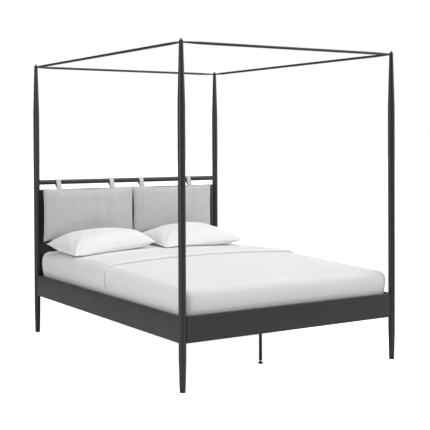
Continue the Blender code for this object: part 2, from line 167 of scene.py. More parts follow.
def revolve(outline: Array, sides: int) -> Shell:
    """Turn an outline about Z.

    Args:
        outline: radius and height of each point, from one pole or rim to the other.
        sides: faces round the axis.

    Returns:
        The turned shell, whose poles are still one vertex for each side.
    """
    return rings(np.repeat(outline[:, :1], sides, axis=1), outline[:, 1])


def carry(outline: Array, reach: float) -> Shell:
    """Carry a closed outline along X from -reach to +reach, and close both ends.

    Args:
        outline: Y and Z of each point.
        reach: half the length.

    Returns:
        The closed bar.
    """
    count = len(outline)
    ends = [np.column_stack([np.full(count, x), outline]) for x in (-reach, reach)]
    points, faces = grid_shell(np.stack(ends), wrap_columns=True)
    return points, faces + [list(range(count))[::-1], list(range(count, 2 * count))]


def carry_tube(outer: Array, inner: Array, reach: float) -> Shell:
    """Carry a hollow outline along X from -reach to +reach, open at both ends.

    Args:
        outer: Y and Z of the outer outline's points.
        inner: as many points of the inner outline.
        reach: half the length.

    Returns:
        The closed wall of the tube.
    """
    ends = [(outer, -reach), (outer, reach), (inner, reach), (inner, -reach)]
    loops = [np.column_stack([np.full(len(loop), x), loop]) for loop, x in ends]
    return grid_shell(np.stack(loops), wrap_rows=True, wrap_columns=True)


def ring_band(path: Array, side: tuple[float, float, float], section: Array) -> Shell:
    """Carry a closed section round a closed path, as for piping or the flat hem of a pillowcase.

    Args:
        path: the path's points.
        side: the direction square to the path's plane.
        section: how far each of the section's points is outward and to the side, in metres.

    Returns:
        The closed ring.
    """
    ahead = np.roll(path, -1, axis=0) - np.roll(path, 1, axis=0)
    outward = np.cross(ahead, np.array(side, float))
    outward /= np.linalg.norm(outward, axis=1, keepdims=True)
    across = np.cross(outward, ahead)
    across /= np.linalg.norm(across, axis=1, keepdims=True)
    points = path[:, None] + outward[:, None] * section[None, :, :1] + across[:, None] * section[None, :, 1:]
    return grid_shell(points, wrap_rows=True, wrap_columns=True)


def moved(shell: Shell, place: Vector | tuple = (0, 0, 0), turn: tuple = (0, 0, 0)) -> Shell:
    """A shell turned by Euler angles and then put in its place.

    Args:
        shell: the shell.
        place: where its origin goes.
        turn: the angles about X, Y and Z.

    Returns:
        The shell with its new vertices.
    """
    matrix = np.array(Euler(turn).to_matrix())
    return shell[0] @ matrix.T + np.array(place, float), shell[1]


def ripples(x: Array, y: Array, wavelength: float, seed: int, waves: int = 14) -> Array:
    """A smooth random field from about -1 to 1: the mean of waves that run in random directions.

    Args:
        x: one coordinate of each point.
        y: the other.
        wavelength: the usual distance between two crests.
        seed: which field.
        waves: how many waves it adds up.

    Returns:
        The field's value at each point.
    """
    dice = np.random.default_rng(seed)
    angle = dice.uniform(0, math.tau, waves)
    number = math.tau / (wavelength * dice.uniform(0.7, 1.5, waves))
    phase = dice.uniform(0, math.tau, waves)
    run = x[..., None] * (number * np.cos(angle)) + y[..., None] * (number * np.sin(angle)) + phase
    return np.cos(run).sum(axis=-1) / math.sqrt(waves) / 1.5


def smooth_step(value: Array, low: float, high: float) -> Array:
    """0 below low, 1 above high, and an even S between them."""
    share = np.clip((value - low) / (high - low), 0, 1)
    return share * share * (3 - 2 * share)


def make_piece(name: str, shells: list[Shell], finish: "Finish", uv: Array | None = None,
               sharp: float = 38.0, mend: bool = True) -> bpy.types.Object:
    """Put shells into one mesh object at the origin and dress it.

    Args:
        name: the piece's name.
        shells: closed shells, or one open sheet.
        finish: what it is made of.
        uv: where each vertex lies on the flat cloth, in metres.
        sharp: edges that turn by more than this many degrees stay sharp.
        mend: merge doubled vertices and turn the faces outwards.

    Returns:
        The object.
    """
    starts = np.cumsum([0] + [len(points) for points, _ in shells])
    points = np.concatenate([points for points, _ in shells])
    faces = [[number + int(start) for number in face]
             for start, (_, part) in zip(starts, shells) for face in part]
    mesh = bpy.data.meshes.new(name)
    mesh.from_pydata(points.tolist(), [], faces)
    if uv is not None:
        corners = np.zeros(len(mesh.loops), np.int32)
        mesh.loops.foreach_get("vertex_index", corners)
        mesh.uv_layers.new(name="cloth").data.foreach_set("uv", uv[corners].astype(np.float32).ravel())
    if mend:
        work = bmesh.new()
        work.from_mesh(mesh)
        bmesh.ops.remove_doubles(work, verts=work.verts, dist=1e-6)
        bmesh.ops.dissolve_degenerate(work, edges=work.edges, dist=1e-7)
        bmesh.ops.recalc_face_normals(work, faces=work.faces)
        work.to_mesh(mesh)
        work.free()
    mesh.shade_smooth()
    mesh.set_sharp_from_angle(angle=math.radians(sharp))
    mesh.materials.append(finish.material())
    piece = bpy.data.objects.new(name, mesh)
    bpy.context.scene.collection.objects.link(piece)
    return piece


def settle(piece: bpy.types.Object, body: str, slot: str, *nodes: str) -> None:
    """Say which body a piece rides on and which CAD nodes it stands for.

    Args:
        piece: the finished piece.
        body: the body's name.
        slot: a material slot's name, which is not used.
        nodes: the CAD nodes.
    """
    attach(piece, body)
    if nodes:
        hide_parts(*nodes)
    triangles = sum(len(face.vertices) - 2 for face in piece.data.polygons)
    LOG.info("%s: %d triangles on %s", piece.name, triangles, body)


def add_steel(name: str, shells: list[Shell], node: str) -> None:
    """Make a powder-coated piece of the frame that stands for one CAD node."""
    settle(make_piece(name, shells, CHARCOAL_COAT), "frame", "powder_coated_steel", node)


# ---------------------------------------------------------------- finishes


def linear(colour: str) -> tuple[float, float, float, float]:
    """Turn an sRGB colour into a linear one.

    Args:
        colour: a hex colour such as #c0c0c0.

    Returns:
        Red, green, blue and alpha.
    """
    parts = [int(colour[start:start + 2], 16) / 255 for start in (1, 3, 5)]
    parts = [part / 12.92 if part <= 0.04045 else ((part + 0.055) / 1.055) ** 2.4 for part in parts]
    return (*parts, 1.0)


class Pattern(Enum):
    """What a pattern follows: the object's own space, or the flat cloth that a piece was cut from."""

    SPACE = "Object"
    CLOTH = "UV"


class Nodes:
    """A material's or world's shader nodes, added one by one."""

    def __init__(self, tree: bpy.types.NodeTree) -> None:
        """Build on a tree, and on its Principled shader if it has one."""
        self.tree = tree
        self.shader = tree.nodes.get("Principled BSDF")

    def add(self, kind: str, inputs: dict | None = None, **settings) -> bpy.types.Node:
        """Add one node with its settings, values and links.

        Args:
            kind: the node's type.
            inputs: for a socket's name or number, its value or the output it is linked to.
            settings: the node's own properties.

        Returns:
            The node.
        """
        node = self.tree.nodes.new(kind)
        for name, value in settings.items():
            setattr(node, name, value)
        self.fill(node, inputs or {})
        return node

    def fill(self, node: bpy.types.Node, inputs: dict) -> None:
        """Give a node's inputs their values or links.

        Args:
            node: the node.
            inputs: for a socket's name or number, its value or the output it is linked to.
        """
        for name, value in inputs.items():
            if isinstance(value, Socket):
                self.tree.links.new(value, node.inputs[name])
            else:
                node.inputs[name].default_value = value

    def surface(self, inputs: dict) -> None:
        """Give the Principled shader's inputs their values or links."""
        self.fill(self.shader, inputs)

    def place(self, pattern: Pattern) -> Socket:
        """The coordinates that a pattern follows."""
        return self.add("ShaderNodeTexCoord").outputs[pattern.value]

    def noise(self, place: Socket, size: float, detail: float) -> Socket:
        """Noise from 0 to 1 at a place, with features of a given size in metres."""
        inputs = {"Vector": place, "Scale": 1 / size, "Detail": detail}
        return self.add("ShaderNodeTexNoise", inputs).outputs[0]

    def remap(self, value: Socket, source: tuple, target: tuple, **settings) -> Socket:
        """Carry a value from one range to another, held at its ends."""
        ranges = {"From Min": source[0], "From Max": source[1], "To Min": target[0], "To Max": target[1]}
        return self.add("ShaderNodeMapRange", {"Value": value, **ranges}, **settings).outputs[0]

    def mix(self, share: Input, first: Input, second: Input, blend: str = "MIX") -> Socket:
        """Mix two colours, or multiply them."""
        inputs = {0: share, 6: first, 7: second}
        return self.add("ShaderNodeMix", inputs, data_type="RGBA", blend_type=blend).outputs[2]

    def for_eye(self, light: Input, seen: float) -> Socket:
        """One strength for the light that is thrown, and another for what is seen directly."""
        inputs = {0: self.add("ShaderNodeLightPath").outputs["Is Camera Ray"], 2: light, 3: seen}
        return self.add("ShaderNodeMix", inputs, data_type="FLOAT").outputs[0]

    def relief(self, height: Socket, depth: float, strength: float, under: Socket | None = None) -> Socket:
        """Give the Principled shader a bump.

        Args:
            height: the height, from 0 to 1.
            depth: how deep 1 is, in metres.
            strength: how much of it shows.
            under: the normal of a coarser bump that this one lies on.

        Returns:
            The bumped normal.
        """
        inputs = {"Height": height, "Distance": depth, "Strength": strength}
        if under is not None:
            inputs["Normal"] = under
        bump = self.add("ShaderNodeBump", inputs).outputs[0]
        self.surface({"Normal": bump})
        return bump


@dataclass(frozen=True)
class Finish:
    """A surface finish: its name, its two colours and the roughness between which it varies."""

    name: str
    dark: str
    light: str
    roughness: tuple[float, float]

    def material(self) -> bpy.types.Material:
        """Make the material the first time it is asked for.

        Returns:
            The finish's one material.
        """
        found = bpy.data.materials.get(self.name)
        if found is None:
            found = bpy.data.materials.new(self.name)
            found.use_nodes = True
            self.dress(Nodes(found.node_tree))
        return found

    def dress(self, nodes: Nodes) -> None:
        """Add the finish's nodes to its shader."""
        raise NotImplementedError

    def blotches(self, nodes: Nodes, place: Socket, size: float) -> Socket:
        """Vary the shader's colour and roughness in soft blotches.

        Args:
            nodes: the material's nodes.
            place: the coordinates.
            size: a blotch's width in metres.

        Returns:
            The mixed colour.
        """
        noise = nodes.noise(place, size, 3.0)
        colour = nodes.mix(noise, linear(self.dark), linear(self.light))
        gloss = nodes.remap(noise, (0.3, 0.7), self.roughness)
        nodes.surface({"Base Color": colour, "Roughness": gloss})
        return colour


@dataclass(frozen=True)
class PowderCoat(Finish):
    """Powder-coated steel: sprayed as powder and baked, so it is satin with a fine orange peel."""

    patch: float = 0.16         # width of the patches where the coat is thicker
    peel: float = 2.2 * MM      # a real peel is about 1 mm across; it is drawn coarser, so that it shows
    peel_depth: float = 0.05 * MM

    def dress(self, nodes: Nodes) -> None:
        """Charcoal paint whose gloss changes a little where the coat is thicker.

        Args:
            nodes: the material's nodes.
        """
        place = nodes.place(Pattern.SPACE)
        self.blotches(nodes, place, self.patch)
        nodes.relief(nodes.noise(place, self.peel, 2.0), self.peel_depth, 0.35)
        nodes.surface({"IOR": 1.50})


@dataclass(frozen=True)
class ZincPlate(Finish):
    """Bright zinc-plated steel: cold-formed bolts with a bluish, slightly patchy plating."""

    patch: float = 4 * MM
    mark: float = 0.8 * MM      # width of a forming mark
    mark_depth: float = 0.04 * MM

    def dress(self, nodes: Nodes) -> None:
        """Soft metal gloss over faint forming marks.

        Args:
            nodes: the material's nodes.
        """
        place = nodes.place(Pattern.SPACE)
        self.blotches(nodes, place, self.patch)
        nodes.relief(nodes.noise(place, self.mark, 3.0), self.mark_depth, 0.4)
        nodes.surface({"Metallic": 1.0})


@dataclass(frozen=True)
class MouldedNylon(Finish):
    """Injection-moulded black nylon: matte, with the fine grain of a spark-eroded mould."""

    patch: float = 12 * MM
    grain: float = 0.6 * MM     # width of a pebble of the grain
    grain_depth: float = 0.05 * MM

    def dress(self, nodes: Nodes) -> None:
        """Black plastic with a pebbled grain.

        Args:
            nodes: the material's nodes.
        """
        place = nodes.place(Pattern.SPACE)
        self.blotches(nodes, place, self.patch)
        grain = nodes.add("ShaderNodeTexVoronoi", {"Vector": place, "Scale": 1 / self.grain})
        nodes.relief(grain.outputs[0], self.grain_depth, 0.35)
        nodes.surface({"IOR": 1.53})


@dataclass(frozen=True)
class PlanedPine(Finish):
    """Planed pine along X: broad pale early wood between narrow darker late-wood lines."""

    late_wood: str = "#b07c44"
    patch: float = 60 * MM
    ring: float = 7 * MM        # distance between two late-wood lines
    fibre: float = 1.2 * MM
    fibre_depth: float = 0.1 * MM
    draw_out: tuple[float, float, float] = (0.06, 1.0, 2.2)     # how the grain is scaled along X, Y and Z

    def dress(self, nodes: Nodes) -> None:
        """Grain lines stretched along the board, with finer fibres that also show as relief.

        Args:
            nodes: the material's nodes.
        """
        place = nodes.place(Pattern.SPACE)
        grain = nodes.add("ShaderNodeMapping", {"Vector": place, "Scale": self.draw_out}).outputs[0]
        base = self.blotches(nodes, grain, self.patch)
        waves = {"Vector": grain, "Scale": WAVE_SCALE / self.ring, "Distortion": 5.0, "Detail": 2.0,
                 "Detail Scale": 0.35}
        lines = nodes.add("ShaderNodeTexWave", waves, bands_direction="Y", wave_profile="SAW").outputs[1]
        line = nodes.remap(lines, (0.55, 1.0), (0.0, 0.55))
        fibre = nodes.noise(grain, self.fibre, 3.0)
        streak = nodes.mix(line, base, linear(self.late_wood))
        fleck = nodes.remap(fibre, (0.35, 0.75), (0.9, 1.08))
        nodes.surface({"Base Color": nodes.mix(1.0, streak, fleck, "MULTIPLY")})
        nodes.relief(fibre, self.fibre_depth, 0.5)


@dataclass(frozen=True)
class WovenCloth(Finish):
    """A plain weave: threads that cross over and under each other, seen as a fine even grain."""

    thread: float = 1.6 * MM    # distance between two threads; a fine weave is drawn coarser, to show it
    depth: float = 0.25 * MM
    crumple: float = 45 * MM    # width of the soft creases that cloth keeps
    crumple_depth: float = 1.0 * MM
    sheen: float = 0.2
    mottle: float = 0.0         # how far single threads differ in colour
    follows: Pattern = Pattern.CLOTH
    patch: float = 0.25
    draw_out: float = 0.16      # a streak's width as a share of its length

    def dress(self, nodes: Nodes) -> None:
        """Creases first, the weave on top of them, and a soft sheen from the fibres' ends.

        Args:
            nodes: the material's nodes.
        """
        coordinates = nodes.add("ShaderNodeTexCoord").outputs
        space, cloth = coordinates[Pattern.SPACE.value], coordinates[self.follows.value]
        base = self.blotches(nodes, space, self.patch)
        crease = nodes.add("ShaderNodeTexNoise", {"Vector": space, "Scale": 1 / self.crumple, "Detail": 2.5,
                                        "Roughness": 0.45}).outputs[0]
        soft = nodes.relief(crease, self.crumple_depth, 0.5)
        waves = {"Vector": cloth, "Scale": WAVE_SCALE / self.thread, "Distortion": 0.6, "Detail": 1.0,
                 "Detail Scale": 0.4}
        threads = [nodes.add("ShaderNodeTexWave", waves, bands_direction=way).outputs[1]
                   for way in ("X", "Y")]
        weave = nodes.add("ShaderNodeMath", {0: threads[0], 1: threads[1]}, operation="MULTIPLY")
        nodes.relief(weave.outputs[0], self.depth, 0.5, soft)
        nodes.surface({"Sheen Weight": self.sheen, "Sheen Roughness": 0.45, "IOR": 1.45,
                       "Specular IOR Level": 0.25})
        if self.mottle:
            self.heather(nodes, cloth, base)

    def heather(self, nodes: Nodes, cloth: Socket, base: Socket) -> None:
        """Threads spun from light and dark fibres: short streaks along both directions of the weave.

        Args:
            nodes: the material's nodes.
            cloth: the cloth's coordinates.
            base: the colour without the streaks.
        """
        streaks = []
        for scale in ((1.0, self.draw_out, 1.0), (self.draw_out, 1.0, 1.0)):
            run = nodes.add("ShaderNodeMapping", {"Vector": cloth, "Scale": scale}).outputs[0]
            streaks.append(nodes.noise(run, 2 * self.thread, 3.0))
        both = nodes.add("ShaderNodeMath", {0: streaks[0], 1: streaks[1]}, operation="ADD").outputs[0]
        shade = nodes.remap(both, (0.7, 1.3), (1 - self.mottle, 1 + self.mottle))
        nodes.surface({"Base Color": nodes.mix(1.0, base, shade, "MULTIPLY")})


@dataclass(frozen=True)
class StudioFloor(Finish):
    """Pale seamless studio paper, lit so that it is nearly as bright as its surroundings."""

    glow: float = 0.90

    def dress(self, nodes: Nodes) -> None:
        """Matte paper that looks bright and yet throws little light up at the bed.

        Args:
            nodes: the material's nodes.
        """
        nodes.surface({"Base Color": linear(self.light), "Roughness": self.roughness[0],
                       "Specular IOR Level": 0.0, "Emission Color": (1, 1, 1, 1),
                       "Emission Strength": nodes.for_eye(0.0, self.glow)})


CHARCOAL_COAT = PowderCoat("powder_coated_steel_charcoal_satin", "#272729", "#2c2d2e", (0.34, 0.42))
ZINC = ZincPlate("zinc_plated_steel_bright", "#a3a6a8", "#c2c4c2", (0.26, 0.42))
BLACK_NYLON = MouldedNylon("moulded_nylon_black", "#1a1a1b", "#202021", (0.48, 0.58))
PINE = PlanedPine("planed_pine_clear", "#d2a76c", "#e2bf8c", (0.52, 0.66))
HEATHER = WovenCloth("chenille_weave_heather_grey", "#bdbdbe", "#c8c8c9", (0.86, 0.96), thread=2.6 * MM,
                     depth=0.6 * MM, crumple=70 * MM, crumple_depth=1.2 * MM, sheen=0.35, mottle=0.10)
# The piping and straps are the cover's own heather cloth. Their lighter colours are a painted highlight for
# edges that catch the light.
HEATHER_TRIM_PAINTED_HIGHLIGHT = WovenCloth("chenille_weave_heather_grey_trim_painted_highlight", "#c4c4c5", "#cfcfd0", (0.86, 0.96),
                          thread=2.0 * MM, depth=0.4 * MM, sheen=0.3, mottle=0.10, follows=Pattern.SPACE)
PERCALE = WovenCloth("cotton_percale_white", "#ececec", "#f1f1f1", (0.74, 0.84), thread=1.2 * MM,
                     depth=0.12 * MM, crumple=60 * MM, crumple_depth=0.8 * MM, sheen=0.15)
TICKING = WovenCloth("mattress_ticking_off_white", "#d9d6cf", "#e4e1da", (0.80, 0.90), thread=2.0 * MM,
                     depth=0.3 * MM, crumple=80 * MM, crumple_depth=2.5 * MM, sheen=0.1,
                     follows=Pattern.SPACE)
PAPER = StudioFloor("seamless_studio_paper", "#f4f4f4", "#f4f4f4", (0.9, 0.9))


# ---------------------------------------------------------------- frame


def middle(node: str) -> Vector:
    """The middle of a CAD node's box."""
    low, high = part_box(node)
    return (low + high) / 2


@dataclass
class Posts:
    """The four tapered posts with their finials and glides."""

    sides: int = 96
    taper_start: float = 1.63       # height where the upper taper starts
    toe_taper: float = 0.19         # height where the lower taper ends
    toe_radius: float = 17.5 * MM
    tip_radius: float = 12.5 * MM
    blend: float = 0.9              # radius of the easing between the straight part and the lower taper
    upper_blend: float = 2.7        # the same at the upper taper
    edge: float = 0.6 * MM
    weld_gap: float = 0.3 * MM      # between the post's top and its finial
    foot: float = 6 * MM            # height of the glide's disc
    foot_inset: float = 1 * MM      # how much narrower than the post's toe the disc is
    plug_inset: float = 2.3 * MM

    def post(self, radius: float, low: float, high: float) -> Shell:
        """A tube that narrows to both ends: straight tapers that ease into the straight middle.

        Args:
            radius: the middle part's radius.
            low: the lower end's height.
            high: the upper end's height.

        Returns:
            The closed post about Z.
        """
        corners = [(0, low), (self.toe_radius, low), (radius, self.toe_taper), (radius, self.taper_start),
                   (self.tip_radius, high), (0, high)]
        ease = [0, self.edge, self.blend, self.upper_blend, self.edge, 0]
        return revolve(round_corners(corners, ease, 8), self.sides)

    def finial(self, base: float, tip: float) -> Shell:
        """A small cone whose side bulges and whose point is blunt.

        Args:
            base: its lower face's height.
            tip: its point's height.

        Returns:
            The closed finial about Z.
        """
        share = np.linspace(0, 1, 25)
        radius = self.tip_radius * np.power(1 - share, 0.82) * (1 - 0.12 * np.sin(math.pi * share))
        side = np.column_stack([radius, base + (tip - base) * share])
        return revolve(np.vstack([[(0, base)], side]), self.sides)

    def glide(self, low: float, high: float) -> Shell:
        """A plastic foot: a disc with a rounded lower edge, and a ribbed plug that holds in the tube.

        Args:
            low: the foot's underside.
            high: the plug's top.

        Returns:
            The closed glide about Z.
        """
        foot_top, plug = low + self.foot, self.toe_radius - self.plug_inset
        wide = self.toe_radius - self.foot_inset
        corners = [(0, low), (wide, low), (wide, foot_top), (plug, foot_top), (plug, high), (0, high)]
        return revolve(round_corners(corners, [0, 2 * MM, 0.5 * MM, 0.3 * MM, 1 * MM, 0], 6), self.sides)

    def build(self) -> None:
        """Make all four posts where the CAD ones stand."""
        for corner in CORNERS:
            low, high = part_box(f"post_{corner}")
            place = ((low.x + high.x) / 2, (low.y + high.y) / 2, 0)
            post = moved(self.post((high.x - low.x) / 2, low.z, high.z), place)
            add_steel(f"post_tube_{corner}", [post], f"post_{corner}")
            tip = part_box(f"finial_{corner}")[1].z
            finial = moved(self.finial(high.z + self.weld_gap, tip), place)
            add_steel(f"post_finial_{corner}", [finial], f"finial_{corner}")
            low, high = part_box(f"glide_{corner}")
            glide = moved(self.glide(low.z, high.z), place)
            settle(make_piece(f"post_glide_{corner}", [glide], BLACK_NYLON), "frame",
                   "black_plastic", f"glide_{corner}")


@dataclass
class Canopy:
    """The four rods that join the post tops, each thinner at its ends."""

    sides: int = 64
    end_radius: float = 5 * MM
    tenon_radius: float = 4 * MM
    tenon: float = 8.6 * MM         # length of the tenon that enters the post
    taper: float = 0.15
    shoulder_edge: float = 0.6 * MM

    def rod(self, half_length: float, radius: float) -> Shell:
        """A rod along Z whose radius swells with the sine of the distance from its shoulder.

        Args:
            half_length: half the length over both tenons.
            radius: the middle part's radius.

        Returns:
            The closed rod.
        """
        shoulder = half_length - self.tenon
        height = shoulder - np.linspace(self.shoulder_edge, self.taper, 24)
        share = (shoulder - height) / self.taper
        swell = self.end_radius + (radius - self.end_radius) * np.sin(share * math.pi / 2)
        tip = [(0, half_length), (self.tenon_radius, half_length), (self.tenon_radius, shoulder),
               (self.end_radius - self.shoulder_edge, shoulder),
               (self.end_radius - 0.2 * MM, shoulder - 0.2 * MM)]
        upper = np.vstack([tip, np.column_stack([swell, height])])
        lower = upper[::-1] * (1, -1)
        return revolve(np.vstack([upper, lower]), self.sides)

    def build(self) -> None:
        """Make the rods on the CAD rods' axes."""
        along_y, along_x = (QUARTER, 0, 0), (0, QUARTER, 0)
        for side, turn in {"left": along_y, "right": along_y, "foot": along_x, "head": along_x}.items():
            low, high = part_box(f"canopy_rod_{side}")
            rod = moved(self.rod(max(high - low) / 2, (high.z - low.z) / 2), (low + high) / 2, turn)
            add_steel(f"canopy_tube_{side}", [rod], f"canopy_rod_{side}")


@dataclass
class Rails:
    """Four rails folded from sheet steel, each closed by end plates that are bolted to the posts."""

    wall: float = 2 * MM
    bend: float = 3 * MM            # outside radius of a fold
    end_plate: float = 4 * MM
    shelf_top: float = 0.3297
    shelf_wall: float = 3 * MM
    cut_edge: float = 0.4 * MM
    plate_gap: float = 0.05 * MM    # between an end plate and the channel's inside

    def section(self, depth: float, low: float, high: float, with_shelf: bool) -> Array:
        """Outline of the channel, its flat face at -Y and open at +Y, with rounded folds.

        Args:
            depth: over the flanges.
            low: underside.
            high: top.
            with_shelf: add the shelf that the slats lie on.

        Returns:
            Y and Z of the outline's points.
        """
        face, lip, inner = -depth / 2, depth / 2, -depth / 2 + self.wall
        edge, fold = self.cut_edge, self.bend - self.wall
        shelf_under = self.shelf_top - self.shelf_wall
        shelf = [(inner, self.shelf_top, fold), (lip, self.shelf_top, edge), (lip, shelf_under, edge),
                 (inner, shelf_under, fold)]
        corners = [(face, low, self.bend), (face, high, self.bend), (lip, high, edge),
                   (lip, high - self.wall, edge), (inner, high - self.wall, fold)]
        corners += shelf if with_shelf else []
        corners += [(inner, low + self.wall, fold), (lip, low + self.wall, edge), (lip, low, edge)]
        return round_corners([corner[:2] for corner in corners], [corner[2] for corner in corners])

    def plate(self, depth: float, low: float, high: float, x: float) -> Shell:
        """An end plate inside the channel: a rounded oblong carried through its thickness.

        Args:
            depth: the channel's depth.
            low: the channel's underside.
            high: the channel's top.
            x: the plate's middle along the rail.

        Returns:
            The closed plate.
        """
        inset = self.wall + self.plate_gap
        corners = [(-depth / 2 + inset, low + inset), (-depth / 2 + inset, high - inset),
                   (depth / 2, high - inset), (depth / 2, low + inset)]
        outline = round_corners(corners, [1 * MM] * 4)
        return moved(carry(outline, self.end_plate / 2), (x, 0, 0))

    def build(self) -> None:
        """Make each rail along X, and turn it to where the CAD one is."""
        turns = {"foot_rail": 0, "side_rail_right": 1, "head_rail": 2, "side_rail_left": 3}
        for name, quarters in turns.items():
            low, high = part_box(name)
            size, place = high - low, Vector(((low.x + high.x) / 2, (low.y + high.y) / 2, 0))
            half_length, depth = max(size.x, size.y) / 2, min(size.x, size.y)
            plate_x = half_length - self.end_plate / 2
            shells = [carry(self.section(depth, low.z, high.z, "side" in name), half_length)]
            shells += [self.plate(depth, low.z, high.z, x) for x in (-plate_x, plate_x)]
            turn = (0, 0, quarters * QUARTER)
            add_steel(f"{name}_channel", [moved(shell, place, turn) for shell in shells], name)


@dataclass
class RailBolts:
    """Hexagon-head bolts that hold the rails' end plates to the posts."""

    shank: float = 4 * MM
    corner_radius: float = 7.5 * MM
    head: float = 5.3 * MM
    root: float = 1 * MM            # how far the shank runs up into the head
    chamfer: float = 0.8 * MM
    sides: int = 96

    def bolt(self, length: float) -> list[Shell]:
        """A bolt along Z whose head ends at +length / 2.

        The head's radius in each direction is that of a hexagon, cut by a cone at its outer rim.

        Args:
            length: over everything.

        Returns:
            The head and the shank.
        """
        angle = around(self.sides)
        flat = self.corner_radius * math.cos(math.pi / 6)
        hexagon = flat / np.cos((angle + math.pi / 6) % (math.pi / 3) - math.pi / 6)
        height = np.array([0, 0, 0.85, 0.93, 1.0, 1.0]) * self.head
        limit = np.array([0, 1.0, 1.0, 0.94, 0.88, 0])[:, None] * self.corner_radius
        base = length / 2 - self.head
        top = base + self.root
        corners = [(0, -length / 2), (self.shank, -length / 2), (self.shank, top), (0, top)]
        shank = revolve(round_corners(corners, [0, self.chamfer, 0, 0]), self.sides // 2)
        return [rings(np.minimum(hexagon[None], limit), base + height), shank]

    def build(self) -> None:
        """Make two bolts at each corner, pointing out of the rails into the post."""
        for corner, (side, end) in CORNERS.items():
            turns = {"end": (0, -side * QUARTER, 0), "side": (end * QUARTER, 0, 0)}
            for way, turn in turns.items():
                node = f"rail_bolt_{corner}_{way}"
                low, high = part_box(node)
                shells = [moved(shell, (low + high) / 2, turn) for shell in self.bolt(max(high - low))]
                settle(make_piece(f"{node}_hex", shells, ZINC, sharp=25), "frame", "zinc_plated_steel", node)


@dataclass
class CentreSupport:
    """The beam under the slats, its two legs and their screw-in feet."""

    wall: float = 2 * MM
    bend: float = 3 * MM            # outside radius of the beam's corners
    leg_radius: float = 10 * MM
    plate: float = 3 * MM
    weld: float = 3 * MM            # leg of the weld between a leg and its plate
    pad_height: float = 12 * MM
    screw_radius: float = 4 * MM
    pitch: float = 1.25 * MM
    thread: float = 0.35 * MM       # half the thread's depth

    def beam(self, low: Vector, high: Vector) -> Shell:
        """A rectangular tube along Y with rounded corners.

        Args:
            low: lowest corner.
            high: highest corner.

        Returns:
            The wall.
        """
        half, tall = (high.x - low.x) / 2, (high.z - low.z) / 2
        outer = rounded_box(half, tall, self.bend)
        inner = rounded_box(half - self.wall, tall - self.wall, self.bend - self.wall)
        return moved(carry_tube(outer, inner, (high.y - low.y) / 2), (low + high) / 2, (0, 0, QUARTER))

    def leg(self, low: float, high: float, plate_radius: float) -> Shell:
        """A round leg with a welded plate on top.

        Args:
            low: its lower end.
            high: the plate's top.
            plate_radius: the plate's radius.

        Returns:
            The closed leg about Z.
        """
        under = high - self.plate
        corners = [(0, low), (self.leg_radius, low), (self.leg_radius, under - self.weld),
                   (self.leg_radius + self.weld, under), (plate_radius, under), (plate_radius, high),
                   (0, high)]
        radii = [0, 0.8 * MM, 1 * MM, 0.5 * MM, 0.8 * MM, 0.8 * MM, 0]
        return revolve(round_corners(corners, radii), 64)

    def foot(self, low: float, high: float, radius: float) -> list[Shell]:
        """A rounded pad on a threaded screw, whose radius rises and falls along a helix.

        Args:
            low: the pad's underside.
            high: the screw's upper end.
            radius: the pad's radius.

        Returns:
            The pad and the screw about Z.
        """
        top = low + self.pad_height
        corners = [(0, low), (radius, low), (radius, low + 0.62 * self.pad_height),
                   (0.72 * radius, top), (0, top)]
        pad = revolve(round_corners(corners, [0, 3 * MM, 2 * MM, 1.5 * MM, 0]), 64)
        height = np.arange(top - 1 * MM, high, self.pitch / 6)
        helix = np.cos(around(32) + math.tau * height[:, None] / self.pitch)
        screw = self.screw_radius - self.thread * (1 - helix)
        screw[[0, -1]] = 0
        return [pad, rings(screw, height)]

    def build(self) -> None:
        """Make the beam, the legs and the feet where the CAD ones are."""
        add_steel("centre_beam_tube", [self.beam(*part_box("centre_beam"))], "centre_beam")
        for end in ("foot", "head"):
            low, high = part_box(f"centre_leg_{end}")
            place = ((low.x + high.x) / 2, (low.y + high.y) / 2, 0)
            leg = moved(self.leg(low.z, high.z, (high.x - low.x) / 2), place)
            add_steel(f"centre_leg_{end}_tube", [leg], f"centre_leg_{end}")
            low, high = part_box(f"leveller_{end}")
            shells = [moved(shell, place) for shell in self.foot(low.z, high.z, (high.x - low.x) / 2)]
            settle(make_piece(f"leveller_{end}_foot", shells, BLACK_NYLON), f"{end}_leveller",
                   "black_plastic", f"leveller_{end}")


@dataclass
class Slats:
    """The pine slats, whose long arrises are eased."""

    arris: float = 2.5 * MM

    def build(self) -> None:
        """Make a board in the place of every CAD slat."""
        for node in sorted(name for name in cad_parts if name.startswith("slat_")):
            low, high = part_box(node)
            outline = rounded_box((high.y - low.y) / 2, (high.z - low.z) / 2, self.arris, 4)
            board = carry(outline, (high.x - low.x) / 2)
            piece = make_piece(f"{node}_board", [moved(board, (low + high) / 2)], PINE)
            settle(piece, "frame", "pine", node)


